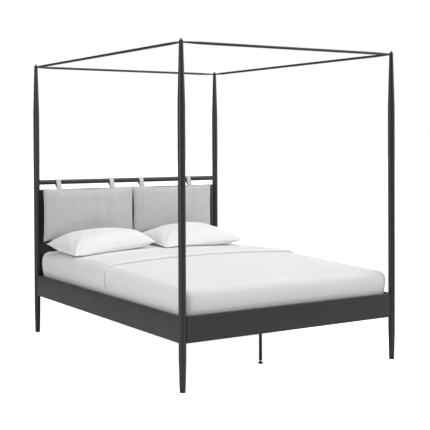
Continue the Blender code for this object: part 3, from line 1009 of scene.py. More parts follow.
@dataclass
class Headboard:
    """The sheet-steel panel between the head posts and the round rail above it."""

    skin: float = 1.2 * MM
    bend: float = 2.5 * MM
    bead: float = 2.6 * MM          # radius of the weld bead where the rail meets a post
    bead_inset: float = 0.5 * MM
    scallops: int = 24              # ripples round a weld bead
    weld_gap: float = 0.2 * MM
    bore: float = 0.88              # the rail's inner radius as a share of its outer one
    sides: int = 96
    stations: int = 41              # rings along the rail

    def panel(self, low: Vector, high: Vector) -> list[Shell]:
        """A case folded from one sheet over the top edge, closed by a strip at each end.

        Args:
            low: lowest corner.
            high: highest corner.

        Returns:
            The folded case and its end strips.
        """
        deep, skin, top = (high.y - low.y) / 2, self.skin, high.z
        outside = [(-deep, low.z), (-deep, top), (deep, top), (deep, low.z)]
        within, under = deep - skin, top - skin
        inside = [(-within, low.z), (-within, under), (within, under), (within, low.z)]
        radii = [0, self.bend, self.bend, 0, 0, self.bend - skin, self.bend - skin, 0]
        half = (high.x - low.x) / 2
        case = carry(round_corners(outside + inside[::-1], radii), half)
        strip = carry(np.array(inside), skin / 2)
        strips = [moved(strip, (x, 0, 0)) for x in (-half + skin / 2, half - skin / 2)]
        return [moved(shell, (0, (low.y + high.y) / 2, 0)) for shell in [case, *strips]]

    def rail(self, post_x: float, post_radius: float, place: Vector, radius: float) -> list[Shell]:
        """A tube along X coped to two round posts, with a weld bead along each joint.

        An end's X is the post's axis less the half chord of the post at that Y.

        Args:
            post_x: a post axis's distance from the middle.
            post_radius: the posts' radius.
            place: the rail's middle.
            radius: the rail's radius.

        Returns:
            The tube and two beads.
        """
        angle = around(self.sides)
        depth, rise = radius * np.cos(angle), radius * np.sin(angle)
        reach = post_x - np.sqrt(post_radius ** 2 - depth ** 2) - self.weld_gap
        share = np.linspace(-1, 1, self.stations)[:, None]
        wall = np.stack(np.broadcast_arrays(share * reach, depth, rise), axis=-1)
        inner = wall[::-1] * (1, self.bore, self.bore)
        tube = grid_shell(np.concatenate([wall, inner]), wrap_rows=True, wrap_columns=True)
        scallop = 1 + 0.05 * np.cos(self.scallops * angle)
        beads = []
        for side in (-1, 1):
            path = np.column_stack([side * (reach - self.bead_inset), depth * scallop, rise * scallop])
            beads.append(ring_band(path, (1, 0, 0), circle(self.bead, 12)))
        return [moved(shell, place) for shell in [tube, *beads]]

    def build(self) -> None:
        """Make the panel and the cushion rail."""
        add_steel("headboard_case", self.panel(*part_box("headboard_panel")), "headboard_panel")
        low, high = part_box("cushion_rail")
        post_low, post_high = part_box("post_head_right")
        shells = self.rail((post_low.x + post_high.x) / 2, (post_high.x - post_low.x) / 2,
                           (low + high) / 2, (high.z - low.z) / 2)
        add_steel("cushion_rail_tube", shells, "cushion_rail")


# ---------------------------------------------------------------- bedding


@dataclass
class BedBlock:
    """The made-up mattress's outer form, which the mattress and both sheets follow."""

    half_width: float
    foot: float
    head: float
    bottom: float
    edge_top: float = 0.600         # height of the top where it starts to round over
    crown: float = 30 * MM          # how much higher the middle is
    dip: float = 27 * MM            # how much lower the top is at the foot end
    corner: float = 48 * MM         # radius of the corners seen from above
    shoulder: float = 42 * MM       # radius from the top into the sides
    hem: float = 18 * MM            # radius from the sides to the underside
    waist: float = 0.430            # height of the rails, which hold the sides in below it
    bulge: float = 11 * MM          # how far the sides swell above the rails
    under: float = 0.16             # how far the outline runs in under the block
    sway: float = 1.6 * MM          # height of the shallow waves in the top

    def __post_init__(self) -> None:
        """Work out the outline from the top's edge down the side and in under the block."""
        self.centre, self.half_length = (self.head + self.foot) / 2, (self.head - self.foot) / 2
        corners = [(0, self.edge_top), (self.corner, self.edge_top), (self.corner, self.bottom),
                   (self.corner - self.under, self.bottom)]
        line = round_corners(corners, [0, self.shoulder, self.hem, 0], 24)
        run = run_along(line)
        self.run = np.linspace(0, run[-1], 400)
        out, height = np.interp(self.run, run, line[:, 0]), np.interp(self.run, run, line[:, 1])
        share = np.clip((height - self.waist) / (self.edge_top - self.waist), 0, 1)
        out = out + self.bulge * np.sin(math.pi * share) ** 1.2 * (out > 0)
        self.outline = np.column_stack([out, height])
        slope = np.gradient(self.outline, axis=0)
        slope /= np.linalg.norm(slope, axis=1, keepdims=True)
        self.facing = np.column_stack([-slope[:, 1], slope[:, 0]])
        self.side_bottom = float(np.interp(-self.bottom - self.hem, -height, self.run))
        self.length = float(self.run[-1])

    def place(self, across: Array, along: Array, lift: Array | float) -> Array:
        """Carry flat cloth onto the block.

        Cloth over the top stays where it is. Beyond the line where a side starts, its distance from
        that line becomes distance along the outline, down the side and in under the block. In a
        corner that distance is the larger of the two, and the smaller one turns it round the corner.

        Args:
            across: the cloth's distance from its middle line.
            along: the cloth's Y on the bed.
            lift: how far it lies outside the block, in metres.

        Returns:
            The point of every piece of cloth.
        """
        centre, half_length = self.centre, self.half_length
        flat_x, flat_y = self.half_width - self.corner, half_length - self.corner
        over_x, over_y = np.abs(across) - flat_x, np.abs(along - centre) - flat_y
        distance = np.maximum(np.maximum(over_x, over_y), 0)
        smaller = np.clip(np.minimum(over_x, over_y), 0, None)
        turn = math.pi / 4 * smaller / np.maximum(distance, 1e-9)
        main, other = np.cos(turn), np.sin(turn)
        to_x, to_y = np.where(over_x >= over_y, main, other), np.where(over_x >= over_y, other, main)
        to_x, to_y = to_x * np.sign(across), to_y * np.sign(along - centre)
        out, height, out_n, up_n = (np.interp(distance, self.run, part) for part in
                                    (*self.outline.T, *self.facing.T))
        reach = out + lift * out_n
        x = np.clip(across, -flat_x, flat_x) + to_x * reach * (distance > 0)
        y = centre + np.clip(along - centre, -flat_y, flat_y) + to_y * reach * (distance > 0)
        top = np.clip(1 - (x / self.half_width) ** 2, 0, 1)
        top *= np.clip(1 - ((y - centre) / half_length) ** 6, 0, 1)
        swell = ripples(x, y, 0.42, 3) * self.sway * smooth_step(height, self.bottom + 0.02, self.edge_top)
        drop = self.dip * smooth_step((centre - y) / half_length, -0.1, 1.0)
        upper = smooth_step(height, 0.47, self.edge_top)
        z = height + lift * up_n + (self.crown * top + swell - drop) * upper
        return np.stack([x, y, z], axis=-1)

    def stretch(self, run: float) -> tuple[float, float]:
        """How far flat cloth reaches from the middle, across and along, at a distance down the outline."""
        return self.half_width - self.corner + run, self.half_length - self.corner + run


class Bedding:
    """The mattress in its fitted sheet, and the top sheet that is folded back at the pillows."""

    BODY = "mattress_and_sheet"
    FITTED_LIFT = 1.2 * MM
    TOP_LIFT = 2.6 * MM
    CLOTH = 0.5 * MM                # half a layer's thickness
    CUFF_LIFT = (10 * MM, 22 * MM)  # of the turned-back part, at the fold and at its hem
    CUFF_HEM = -0.045               # Y of the turned-back part's edge
    CUFF_IN = 0.165                 # how much narrower than the rest it is, as a share
    HEM_TUCK = 0.03                 # how far the hem is turned in under the turned-back part
    TICKING_LIFT = -0.4 * MM
    ELASTIC = 0.05                  # how far short of the outline's end the fitted sheet's edge stops
    TUCK = 0.02                     # how far short of it the top sheet's sides stop
    BODY_ROWS, FOLD_ROWS, CUFF_ROWS, ROLL_ROWS, TUCK_ROWS = 190, 7, 60, 9, 4
    SHEET_SIZE = (2.29, 2.59)

    def __init__(self) -> None:
        """Read the mattress's place from the frame."""
        low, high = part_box("mattress")
        self.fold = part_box("top_sheet")[1].y
        self.block = BedBlock(high.x, low.y, high.y, low.z + 3.6 * MM)

    def mattress(self) -> None:
        """The mattress: an upper shell down to where its sides turn in, and a lower shell, flat beneath."""
        block = self.block
        share = np.linspace(-1, 1, 121)
        reach = block.stretch(block.side_bottom)
        across, along = np.meshgrid(share * reach[0], block.centre + share * reach[1])
        upper = block.place(across, along, self.TICKING_LIFT)
        lower = upper.copy()
        depth = np.maximum(np.abs(across) / reach[0], np.abs(along - block.centre) / reach[1])
        rim = upper[..., 2].min()
        lower[..., 2] = block.bottom + (rim - block.bottom) * smooth_step(depth, 0.985, 1.0)
        piece = make_piece("mattress_core", [grid_shell(upper), grid_shell(lower)], TICKING)
        settle(piece, self.BODY, "white_cotton", "mattress")

    def cloth(self, name: str, points: Array, u: Array, v: Array) -> bpy.types.Object:
        """One sheet of cotton with a thickness.

        Args:
            name: the piece's name.
            points: rows by columns by 3 coordinates.
            u: where each point lies across the flat cloth.
            v: where it lies along it.

        Returns:
            The object.
        """
        uv = np.column_stack([u.ravel(), v.ravel()])
        piece = make_piece(name, [grid_shell(points)], PERCALE, uv, mend=False)
        solidify = piece.modifiers.new("cloth", "SOLIDIFY")
        solidify.thickness, solidify.offset = 2 * self.CLOTH, 0.0
        return piece

    def fitted_sheet(self) -> None:
        """The fitted sheet: stretched over the top and sides, with an elastic edge under the mattress."""
        block = self.block
        reach_x, reach_y = (value - self.ELASTIC for value in block.stretch(block.length))
        across, along = np.meshgrid(np.linspace(-reach_x, reach_x, 181),
                                    block.centre + np.linspace(-reach_y, reach_y, 221))
        piece = self.cloth("fitted_sheet", block.place(across, along, self.FITTED_LIFT), across, along)
        settle(piece, self.BODY, "white_cotton")

    def sheet_path(self) -> tuple[Array, Array, Array]:
        """The top sheet's path from its tucked foot end up to the fold and back to its hem.

        Returns:
            For each row of the cloth, its Y before it goes over the foot end, its lift, and how much
            of the cloth's half width is left in it.
        """
        block = self.block
        start = block.centre - block.stretch(block.length)[1] + self.TUCK
        body_y = np.linspace(start, self.fold, self.BODY_ROWS)
        turn = np.linspace(0, math.pi, self.FOLD_ROWS + 2)[1:-1]
        low, (high, hem) = self.TOP_LIFT, self.CUFF_LIFT
        fold_y = self.fold + (high - low) / 2 * np.sin(turn)
        fold_lift = (high + low) / 2 - (high - low) / 2 * np.cos(turn)
        cuff_y = np.linspace(self.fold, self.CUFF_HEM, self.CUFF_ROWS)
        cuff_lift = high + (hem - high) * smooth_step(self.fold - cuff_y, 0.0, self.fold - self.CUFF_HEM)
        roll = np.linspace(0, math.pi, self.ROLL_ROWS + 1)[1:]
        radius = (hem - low - 2.4 * self.CLOTH) / 2
        hem_y = self.CUFF_HEM - radius * np.sin(roll)
        hem_lift = hem - radius * (1 - np.cos(roll))
        tuck_y = np.linspace(self.CUFF_HEM, self.CUFF_HEM + self.HEM_TUCK, self.TUCK_ROWS + 1)[1:]
        along = np.concatenate([body_y, fold_y, cuff_y, hem_y, tuck_y])
        lift = np.concatenate([np.full(self.BODY_ROWS, low), fold_lift, cuff_lift, hem_lift,
                               np.full(self.TUCK_ROWS, hem_lift[-1])])
        past_fold = np.arange(len(along)) - self.BODY_ROWS
        wide = 1 - self.CUFF_IN * smooth_step(past_fold, 0, self.FOLD_ROWS + 1)
        return along, lift, wide

    def top_sheet(self) -> None:
        """The top sheet: one cloth, tucked in at the foot and sides and folded back under the pillows."""
        block = self.block
        along, lift, wide = self.sheet_path()
        reach = block.stretch(block.length)[0] - self.TUCK
        across = np.linspace(-1, 1, 201)[None, :] * reach * wide[:, None]
        along, lift = (np.broadcast_to(part[:, None], across.shape) for part in (along, lift))
        points = block.place(across, along, self.TOP_LIFT)
        snug = 0.15 + 0.85 * smooth_step(points[..., 2], 0.43, 0.52)
        crease = (1 + ripples(across, along, 0.30, 11)) * 0.5 * MM * smooth_step(points[..., 2], 0.44, 0.52)
        points = block.place(across, along, self.TOP_LIFT + (lift - self.TOP_LIFT) * snug + crease)
        rows = run_along(points[:, 100])
        piece = self.cloth("top_sheet_cloth", points, across, np.broadcast_to(rows[:, None], across.shape))
        settle(piece, self.BODY, "white_cotton", "top_sheet")

    def build(self) -> None:
        """Make the bed up from the inside out."""
        self.mattress()
        self.fitted_sheet()
        self.top_sheet()


# ---------------------------------------------------------------- pillows and cushions


@dataclass
class Envelope:
    """Two panels of cloth sewn together round their edge and filled, along X and Y before it is placed."""

    width: float
    height: float
    front: float                    # how far the filled front stands out from the seam
    back: float                     # how far the back does
    fullness: float                 # from 2, lens-shaped, upwards to boxy
    pull: tuple[float, float]       # how far the filling draws the middle of the sides, and of the top, in
    columns: int = 96
    rows: int = 60
    start: float = 16 * MM          # how far the panels are apart before they are filled

    def numbers(self) -> tuple[Array, Array]:
        """Number the vertices of both panels, which share the vertices on their edge.

        Returns:
            The front panel's numbers and the back panel's, in rows and columns.
        """
        count = self.rows * self.columns
        front = np.arange(count).reshape(self.rows, self.columns)
        back = front.copy()
        inner = (self.rows - 2) * (self.columns - 2)
        back[1:-1, 1:-1] = count + np.arange(inner).reshape(self.rows - 2, self.columns - 2)
        return front, back

    def flat(self) -> Array:
        """Lay both panels nearly flat, as they are before they are filled.

        Returns:
            The vertices.
        """
        share_x, share_y = np.meshgrid(np.linspace(-1, 1, self.columns), np.linspace(-1, 1, self.rows))
        x, y = share_x * self.width / 2, share_y * self.height / 2
        rise = self.start / 2 * (1 - share_x ** 4) * (1 - share_y ** 4)
        front = np.stack([x, y, rise], axis=-1).reshape(-1, 3)
        back = np.stack([x, y, -rise], axis=-1)[1:-1, 1:-1].reshape(-1, 3)
        return np.concatenate([front, back])

    def filled(self, points: Array) -> Array:
        """The filled form: each panel rises as a rounded hump, and every edge bows in at its middle.

        Args:
            points: the flat panels.

        Returns:
            The filled panels' vertices.
        """
        x = np.clip(points[:, 0] * 2 / self.width, -1, 1)
        y = np.clip(points[:, 1] * 2 / self.height, -1, 1)
        hump = ((1 - np.abs(x) ** self.fullness) * (1 - np.abs(y) ** self.fullness)) ** 0.6
        bow_x = self.pull[0] * (1 - y ** 2) * np.abs(x) ** 5
        bow_y = self.pull[1] * (1 - x ** 2) * np.abs(y) ** 5
        rise = np.where(points[:, 2] >= 0, self.front, self.back) * hump * np.sign(points[:, 2])
        return np.column_stack([points[:, 0] - np.sign(x) * bow_x, points[:, 1] - np.sign(y) * bow_y, rise])

    def seam(self) -> Array:
        """Vertex numbers round the seam, in order."""
        front, _ = self.numbers()
        return np.concatenate([front[0, :-1], front[:-1, -1], front[-1, :0:-1], front[:0:-1, 0]])

    def simulate(self, piece: bpy.types.Object, pressure: float, frames: int, cap: float,
                 hold: float) -> None:
        """Fill the envelope by cloth simulation, with pressure inside and no gravity.

        Args:
            piece: the nearly flat envelope.
            pressure: the pressure inside.
            frames: how many frames it runs.
            cap: the furthest that a point may move from the plain filled form.
            hold: how much of a point's travel along the panel is left out at the seam.
        """
        start = vertices_of(piece)
        goal = self.filled(start)
        cloth = piece.modifiers.new("fill", "CLOTH")
        fabric = {"quality": 6, "mass": 0.25, "tension_stiffness": 22, "compression_stiffness": 22,
                  "shear_stiffness": 12, "bending_stiffness": 0.08, "use_pressure": True,
                  "uniform_pressure_force": pressure}
        for name, value in fabric.items():
            setattr(cloth.settings, name, value)
        cloth.settings.effector_weights.gravity = 0
        cloth.collision_settings.use_collision = False
        cloth.point_cache.frame_start, cloth.point_cache.frame_end = 1, frames
        for number in range(1, frames + 1):
            bpy.context.scene.frame_set(number)
        evaluated = piece.evaluated_get(bpy.context.evaluated_depsgraph_get())
        made = vertices_of(evaluated)
        piece.modifiers.remove(cloth)
        bpy.context.scene.frame_set(1)
        made[:, 2] *= self.front / max(made[:, 2].max(), 1e-6)
        made[:, 2] = np.where(made[:, 2] < 0, made[:, 2] * self.back / self.front, made[:, 2])
        travel = made - goal
        length = np.linalg.norm(travel, axis=1, keepdims=True)
        travel *= cap * np.tanh(length / cap) / np.maximum(length, 1e-9)
        share = np.abs(start[:, :2]) * 2 / (self.width, self.height)
        travel[:, :2] *= 1 - hold * share.max(axis=1, keepdims=True) ** 3
        set_vertices(piece, goal + travel)

    def make(self, name: str, finish: Finish, pressure: float = 5.0, frames: int = 30,
             cap: float = 12 * MM, hold: float = 0.4) -> bpy.types.Object:
        """Make the envelope and fill it.

        Args:
            name: the piece's name.
            finish: its cloth.
            pressure: the pressure inside while it is simulated.
            frames: frames of simulation.
            cap: the furthest that the simulation may move a point from the plain filled form.
            hold: how much of the travel along the panel is left out at the seam.

        Returns:
            The filled envelope, still at the origin with its seam in the XY plane.
        """
        front, back = self.numbers()
        points = self.flat()
        shell = (points, quads(front) + quads(back[:, ::-1]))
        piece = make_piece(name, [shell], finish, points[:, :2], sharp=80, mend=False)
        self.simulate(piece, pressure, frames, cap, hold)
        return piece


def vertices_of(piece: bpy.types.Object) -> Array:
    """Read a mesh object's vertices.

    Args:
        piece: the object.

    Returns:
        One row for each vertex.
    """
    points = np.zeros(len(piece.data.vertices) * 3, np.float32)
    piece.data.vertices.foreach_get("co", points)
    return points.reshape(-1, 3).astype(float)


def set_vertices(piece: bpy.types.Object, points: Array) -> None:
    """Give a mesh object new vertices."""
    piece.data.vertices.foreach_set("co", points.astype(np.float32).ravel())
    piece.data.update()


def subdivide(piece: bpy.types.Object) -> None:
    """Round a simulated piece off with one live level of subdivision."""
    modifier = piece.modifiers.new("smooth", "SUBSURF")
    modifier.levels = modifier.render_levels = 1


@dataclass
class Pillow:
    """A pillow in a white pillowcase that lies on the sheet."""

    side: str
    x: float
    y: float
    turn: float                     # degrees, seen from above
    corners: tuple[float, float, float, float]  # seam's height: foot's left and right, head's left and right
    seed: int
    envelope: Envelope
    overhang: float = 0.11          # nearer than this to the bed's side it no longer follows the bed
    folds: float = 15.0             # waves of the creases in a full turn about a corner
    fold_height: float = 7 * MM
    fold_reach: float = 0.13        # distance from a corner at which they have faded to a third
    wave: float = 3 * MM            # height of the soft waves all over
    head_limit: float = 0.952       # Y that the pillow is pressed flat against, in front of the cushions
    give: float = 0.02              # over this distance before it
    gap: float = 4.5 * MM           # between the bed's form and the pillow's underside
    soft: float = 6 * MM            # over this height its underside goes over from lying flat to rising
    hem: float = 5.6 * MM           # how far the case's flat hem stands out

    def creases(self, points: Array) -> Array:
        """Folds that fan out of each corner: a wave in the angle about it, fading with the distance.

        Args:
            points: the filled envelope.

        Returns:
            How much higher the upper side lies at each point.
        """
        away = (np.array([self.envelope.width, self.envelope.height]) / 2 - np.abs(points[:, :2])) + 5 * MM
        distance, angle = np.linalg.norm(away, axis=1), np.arctan2(away[:, 1], away[:, 0])
        bend = ripples(points[:, 0], points[:, 1], 0.22, self.seed + 1)
        fan = np.cos(self.folds * angle + 1.6 * bend) * np.exp(-distance / self.fold_reach)
        return self.fold_height * fan * smooth_step(points[:, 2], 0.004, 0.03)

    def lay(self, points: Array, block: BedBlock) -> Array:
        """Put the pillow on the bed: it sags at its corners and flattens where it rests.

        Args:
            points: the filled envelope.
            block: the bed's form.

        Returns:
            The laid pillow's vertices.
        """
        share_x = 0.5 + points[:, 0] / self.envelope.width
        share_y = 0.5 + points[:, 1] / self.envelope.height
        near_foot = self.corners[0] * (1 - share_x) + self.corners[1] * share_x
        near_head = self.corners[2] * (1 - share_x) + self.corners[3] * share_x
        seam = near_foot * (1 - share_y) + near_head * share_y
        wave = ripples(points[:, 0], points[:, 1], 0.16, self.seed) * self.wave
        wave = wave * smooth_step(points[:, 2], 0.01, 0.08)
        above = points[:, 2] + (seam + wave + self.creases(points))
        angle = math.radians(self.turn)
        x = self.x + points[:, 0] * math.cos(angle) - points[:, 1] * math.sin(angle)
        y = self.y + points[:, 0] * math.sin(angle) + points[:, 1] * math.cos(angle)
        press = self.head_limit - self.give
        y = np.where(y > press, press + self.give * np.tanh((y - press) / self.give), y)
        inner = block.half_width - self.overhang
        rest = block.place(np.clip(x, -inner, inner), y, self.gap)[:, 2]
        return np.column_stack([x, y, rest + self.soft * np.logaddexp(0, above / self.soft - 0.5)])

    def build(self, block: BedBlock) -> None:
        """Make the pillow and the flat hem round its case.

        Args:
            block: the bed's form.
        """
        piece = self.envelope.make(f"pillowcase_{self.side}", PERCALE)
        points = self.lay(vertices_of(piece), block)
        set_vertices(piece, points)
        section = np.array([(-4 * MM, 0.7 * MM), (5 * MM, 0.6 * MM), (self.hem, 0), (5 * MM, -0.6 * MM),
                            (-4 * MM, -0.7 * MM)])
        band = ring_band(points[self.envelope.seam()], (0, 0, 1), section)
        hem = make_piece(f"pillowcase_hem_{self.side}", [band], PERCALE, sharp=60)
        subdivide(piece)
        settle(piece, f"{self.side}_pillow", "white_cotton", f"pillow_{self.side}")
        settle(hem, f"{self.side}_pillow", "white_cotton")


@dataclass
class Strap:
    """A cloth strap that loops over the cushion rail and is sewn into a cushion's top seam."""

    name: str
    thickness: float = 2.4 * MM
    slack: float = 0.8 * MM
    rows: int = 72
    front_end: tuple[float, float] = (-0.042, -0.0572)      # Y and Z of the front leg's end, from the axis
    back_end: tuple[float, float] = (-0.0385, -0.0572)
    length: float = 0.2

    def path(self, rail_radius: float) -> Array:
        """The strap's middle line from the rail's axis: a straight leg, an arc over the rail, a leg.

        Each leg touches the arc, so the arc starts where the line from an end is a tangent.

        Args:
            rail_radius: the rail's radius.

        Returns:
            Y and Z of evenly spaced points.
        """
        radius = rail_radius + self.slack + self.thickness / 2
        front, back = self.front_end, self.back_end
        start = math.atan2(front[1], front[0]) - math.acos(radius / math.hypot(*front))
        stop = math.atan2(back[1], back[0]) + math.acos(radius / math.hypot(*back)) - math.tau
        angle = np.linspace(start, stop, 60)
        line = np.vstack([front, radius * np.column_stack([np.cos(angle), np.sin(angle)]), back])
        run = run_along(line)
        even = np.linspace(0, run[-1], self.rows)
        return np.column_stack([np.interp(even, run, line[:, 0]), np.interp(even, run, line[:, 1])])

    def build(self, body: str) -> None:
        """Make the strap in the place of its CAD node.

        Args:
            body: the body that it rides on.
        """
        low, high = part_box(self.name)
        axis = middle("cushion_rail")
        line = self.path(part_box("cushion_rail")[1].z - axis.z)
        ahead = np.gradient(line, axis=0)
        ahead /= np.linalg.norm(ahead, axis=1, keepdims=True)
        outward = np.column_stack([-ahead[:, 1], ahead[:, 0]])
        section = rounded_box((high.x - low.x) / 2, self.thickness / 2, 1 * MM, 3)
        points = np.empty((self.rows, len(section), 3))
        points[..., 0] = (low.x + high.x) / 2 + section[:, 0]
        points[..., 1:] = line[:, None] + outward[:, None] * section[None, :, 1:]
        points[..., 1:] += (axis.y, axis.z)
        run = np.broadcast_to(np.linspace(0, self.length, self.rows)[:, None], points.shape[:2])
        uv = np.column_stack([np.broadcast_to(section[:, 0], points.shape[:2]).ravel(), run.ravel()])
        shell = grid_shell(points, wrap_columns=True)
        count = len(section)
        last = (self.rows - 1) * count
        caps = [list(range(count))[::-1], list(range(last, last + count))]
        # The strap takes the lighter trim cloth, which is a painted highlight.
        piece = make_piece(f"{self.name}_band", [(shell[0], shell[1] + caps)], HEATHER_TRIM_PAINTED_HIGHLIGHT, uv)
        settle(piece, body, "heather_fabric", self.name)


@dataclass
class HeadboardCushion:
    """A filled cushion with a piped seam, hung from the rail by two straps."""

    side: str
    straps: tuple[str, str]
    seed: int
    piping: float = 2.4 * MM        # radius of the piping
    ears: tuple[float, float] = (6 * MM, 12 * MM)   # how much wider and taller the corners make it
    pull: tuple[float, float] = (6 * MM, 9 * MM)
    droop: float = 12 * MM          # how far the lower corners hang down
    gather: float = 5.0 * MM        # height of the gathers under a strap
    gather_wave: float = 0.046      # distance between two gathers
    gather_reach: float = 0.060     # how far they run down, and to each side of a strap
    fold: float = 2.6 * MM          # height of the soft upright folds
    stand_out: float = 0.8 * MM     # of the piping, from the seam

    def creases(self, points: Array, tall: float, strap_x: list[float]) -> Array:
        """Soft upright folds all over, and short gathers that fade out below the top seam.

        The gathers are a wave along the seam whose height falls off as e to the power of minus the
        distance from the seam; within about 60 mm of a strap they are higher.

        Args:
            points: the filled cushion.
            tall: its height.
            strap_x: where the straps are sewn in.

        Returns:
            How much thicker the cushion is at each point.
        """
        x, y = points[:, 0], points[:, 1]
        from_top = np.maximum(tall / 2 - y, 0)
        near = sum(np.exp(-((x - place) / self.gather_reach) ** 2) for place in strap_x)
        wave = np.cos(math.tau * x / self.gather_wave + 2.6 * ripples(x, y, 0.11, self.seed + 1))
        gathers = self.gather * (0.35 + 0.65 * near) * wave * np.exp(-from_top / self.gather_reach)
        folds = self.fold * ripples(x, 0.35 * y, 0.11, self.seed)
        return (gathers + folds) * smooth_step(np.abs(points[:, 2]), 0.001, 0.018)

    def build(self) -> None:
        """Make the cushion in its CAD solid's space, its piping and its straps."""
        low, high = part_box(f"cushion_{self.side}")
        size, centre = high - low, (low + high) / 2
        wide, tall = size.x - 2 * self.piping + self.ears[0], size.z - 2 * self.piping + self.ears[1]
        envelope = Envelope(wide, tall, front=size.y * 0.53, back=size.y * 0.40, fullness=6.0,
                            pull=self.pull, columns=112, rows=60)
        piece = envelope.make(f"cushion_cover_{self.side}", HEATHER, pressure=4.0, frames=24, cap=9 * MM,
                              hold=0.9)
        points = vertices_of(piece)
        strap_x = [middle(name).x - centre.x for name in self.straps]
        depth = points[:, 2] + self.creases(points, tall, strap_x) * np.sign(points[:, 2])
        share_x, share_y = points[:, 0] * 2 / wide, points[:, 1] * 2 / tall
        height = points[:, 1] - self.droop * np.abs(share_x) ** 4 * smooth_step(-share_y, 0.2, 1.0)
        placed = np.column_stack([
            centre.x + points[:, 0], centre.y + size.y * 0.04 - depth, centre.z + height])
        placed[:, 1] = np.minimum(placed[:, 1], high.y)
        set_vertices(piece, placed)
        section = circle(self.piping, 12) + (self.stand_out, 0)
        band = ring_band(placed[envelope.seam()], (0, 1, 0), section)
        # The piping takes the lighter trim cloth, which is a painted highlight along the seam.
        cord = make_piece(f"cushion_piping_{self.side}", [band], HEATHER_TRIM_PAINTED_HIGHLIGHT, sharp=60)
        subdivide(piece)
        body = f"{self.side}_cushion"
        settle(piece, body, "heather_fabric", f"cushion_{self.side}")
        settle(cord, body, "heather_fabric")
        for name in self.straps:
            Strap(name).build(body)


# ---------------------------------------------------------------- studio


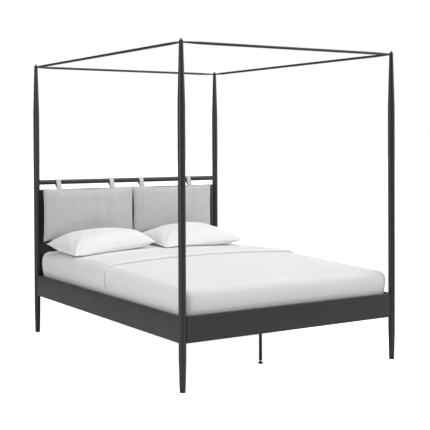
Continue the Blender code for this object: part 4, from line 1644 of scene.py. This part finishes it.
@dataclass
class Studio:
    """The camera, the floor and the light."""

    camera_place: tuple[float, float, float] = (-3.581, -5.837, 1.411)
    heading: float = 32.32          # degrees from +Y towards +X
    tilt: float = -0.881            # degrees above the horizon
    roll: float = -0.242
    lens: float = 82.22             # mm on a 36 mm sensor
    shift: float = -0.1334
    floor_reach: float = 60.0
    floor_height: float = -0.5 * MM
    wall_light: tuple[float, float] = (0.06, 1.05)      # of the darkest and the brightest wall
    open_share: float = 0.22        # how much of it is left at the open end

    def camera(self) -> None:
        """Set up the scene's camera."""
        data = bpy.data.cameras.new("camera")
        data.sensor_width, data.lens, data.shift_y = 36.0, self.lens, self.shift
        data.clip_end = 200
        camera = bpy.data.objects.new("camera", data)
        camera.location = self.camera_place
        turn = Euler((math.radians(90 + self.tilt), 0, -math.radians(self.heading))).to_matrix()
        roll = Euler((0, 0, math.radians(self.roll))).to_matrix()
        camera.rotation_euler = (turn @ roll).to_euler()
        bpy.context.scene.collection.objects.link(camera)
        bpy.context.scene.camera = camera

    def floor(self) -> None:
        """A wide sheet of studio paper under the bed."""
        place = np.linspace(-self.floor_reach, self.floor_reach, 9)
        x, y = np.meshgrid(place, place)
        shell = grid_shell(np.stack([x, y, np.full_like(x, self.floor_height)], axis=-1))
        floor = make_piece("studio_floor", [shell], PAPER, mend=False)

    def light(self, name: str, place: tuple, target: tuple, size: tuple, power: float) -> None:
        """One rectangular soft light.

        Args:
            name: its name.
            place: where it hangs.
            target: the point it faces.
            size: its width and height.
            power: in watts.
        """
        data = bpy.data.lights.new(name, "AREA")
        data.shape, data.size, data.size_y, data.energy = "RECTANGLE", *size, power
        lamp = bpy.data.objects.new(name, data)
        lamp.location = place
        lamp.rotation_euler = (Vector(target) - Vector(place)).to_track_quat("-Z", "Y").to_euler()
        bpy.context.scene.collection.objects.link(lamp)

    def surroundings(self) -> None:
        """White walls: bright to the eye, dimmer as light, and dimmest at the open end of the room."""
        world = bpy.data.worlds.new("white_studio")
        bpy.context.scene.world = world
        world.use_nodes = True
        world.node_tree.nodes.clear()
        nodes = Nodes(world.node_tree)
        place = nodes.add("ShaderNodeTexCoord").outputs["Generated"]

        def facing(way: tuple[float, float, float]) -> Socket:
            """How nearly a wall lies in a given direction, from -1 to 1."""
            product = nodes.add("ShaderNodeVectorMath", {0: place, 1: way}, operation="DOT_PRODUCT")
            return product.outputs["Value"]

        smooth = {"interpolation_type": "SMOOTHSTEP"}
        walls = nodes.remap(facing((0.85, -0.53, 0.1)), (-0.6, 0.9), self.wall_light, **smooth)
        opening = nodes.remap(facing((-0.53, -0.85, 0.0)), (0.30, 1.0), (1.0, self.open_share), **smooth)
        dimmed = nodes.add("ShaderNodeMath", {0: walls, 1: opening}, operation="MULTIPLY").outputs[0]
        strength = nodes.for_eye(dimmed, 1.0)
        shine = nodes.add("ShaderNodeBackground", {"Color": (1, 1, 1, 1), "Strength": strength})
        nodes.add("ShaderNodeOutputWorld", {"Surface": shine.outputs[0]})

    def build(self) -> None:
        """Set up everything round the bed."""
        self.camera()
        self.floor()
        self.surroundings()
        self.light("overhead", (0.2, -0.4, 4.6), (0, 0, 0.6), (4.5, 4.5), 82)
        self.light("key", (3.3, -2.0, 3.1), (0.2, 0.8, 0.9), (1.8, 2.2), 42)
        self.light("fill", (-4.2, -1.2, 1.8), (0, 0, 0.6), (2.6, 2.6), 60)
        settings = bpy.context.scene.view_settings
        settings.view_transform, settings.look = "Standard", "None"


# ---------------------------------------------------------------- the bed


def write_sizes() -> None:
    """Bring the objects' places up to date in the view layer."""
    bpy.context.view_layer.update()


def main() -> None:
    """Build the bed from the frame outwards, then the studio."""
    logging.basicConfig(level=logging.INFO, format="%(name)s: %(message)s")
    Studio().build()
    Posts().build()
    Canopy().build()
    Rails().build()
    RailBolts().build()
    CentreSupport().build()
    Slats().build()
    Headboard().build()
    bedding = Bedding()
    bedding.build()
    left = Envelope(0.693, 0.429, front=0.116, back=0.083, fullness=3.6, pull=(13 * MM, 13 * MM))
    right = Envelope(0.700, 0.480, front=0.117, back=0.091, fullness=2.4, pull=(10 * MM, 10 * MM))
    Pillow("left", x=-0.422, y=0.727, turn=5.5, corners=(0.011, 0.050, 0.068, 0.058), seed=21,
           envelope=left).build(bedding.block)
    Pillow("right", x=0.333, y=0.721, turn=0.2, corners=(0.003, 0.050, 0.078, 0.068), seed=34,
           envelope=right).build(bedding.block)
    HeadboardCushion("left", ("strap_1", "strap_2"), seed=5).build()
    HeadboardCushion("right", ("strap_3", "strap_4"), seed=8).build()
    write_sizes()


if __name__ == "__main__":
    main()
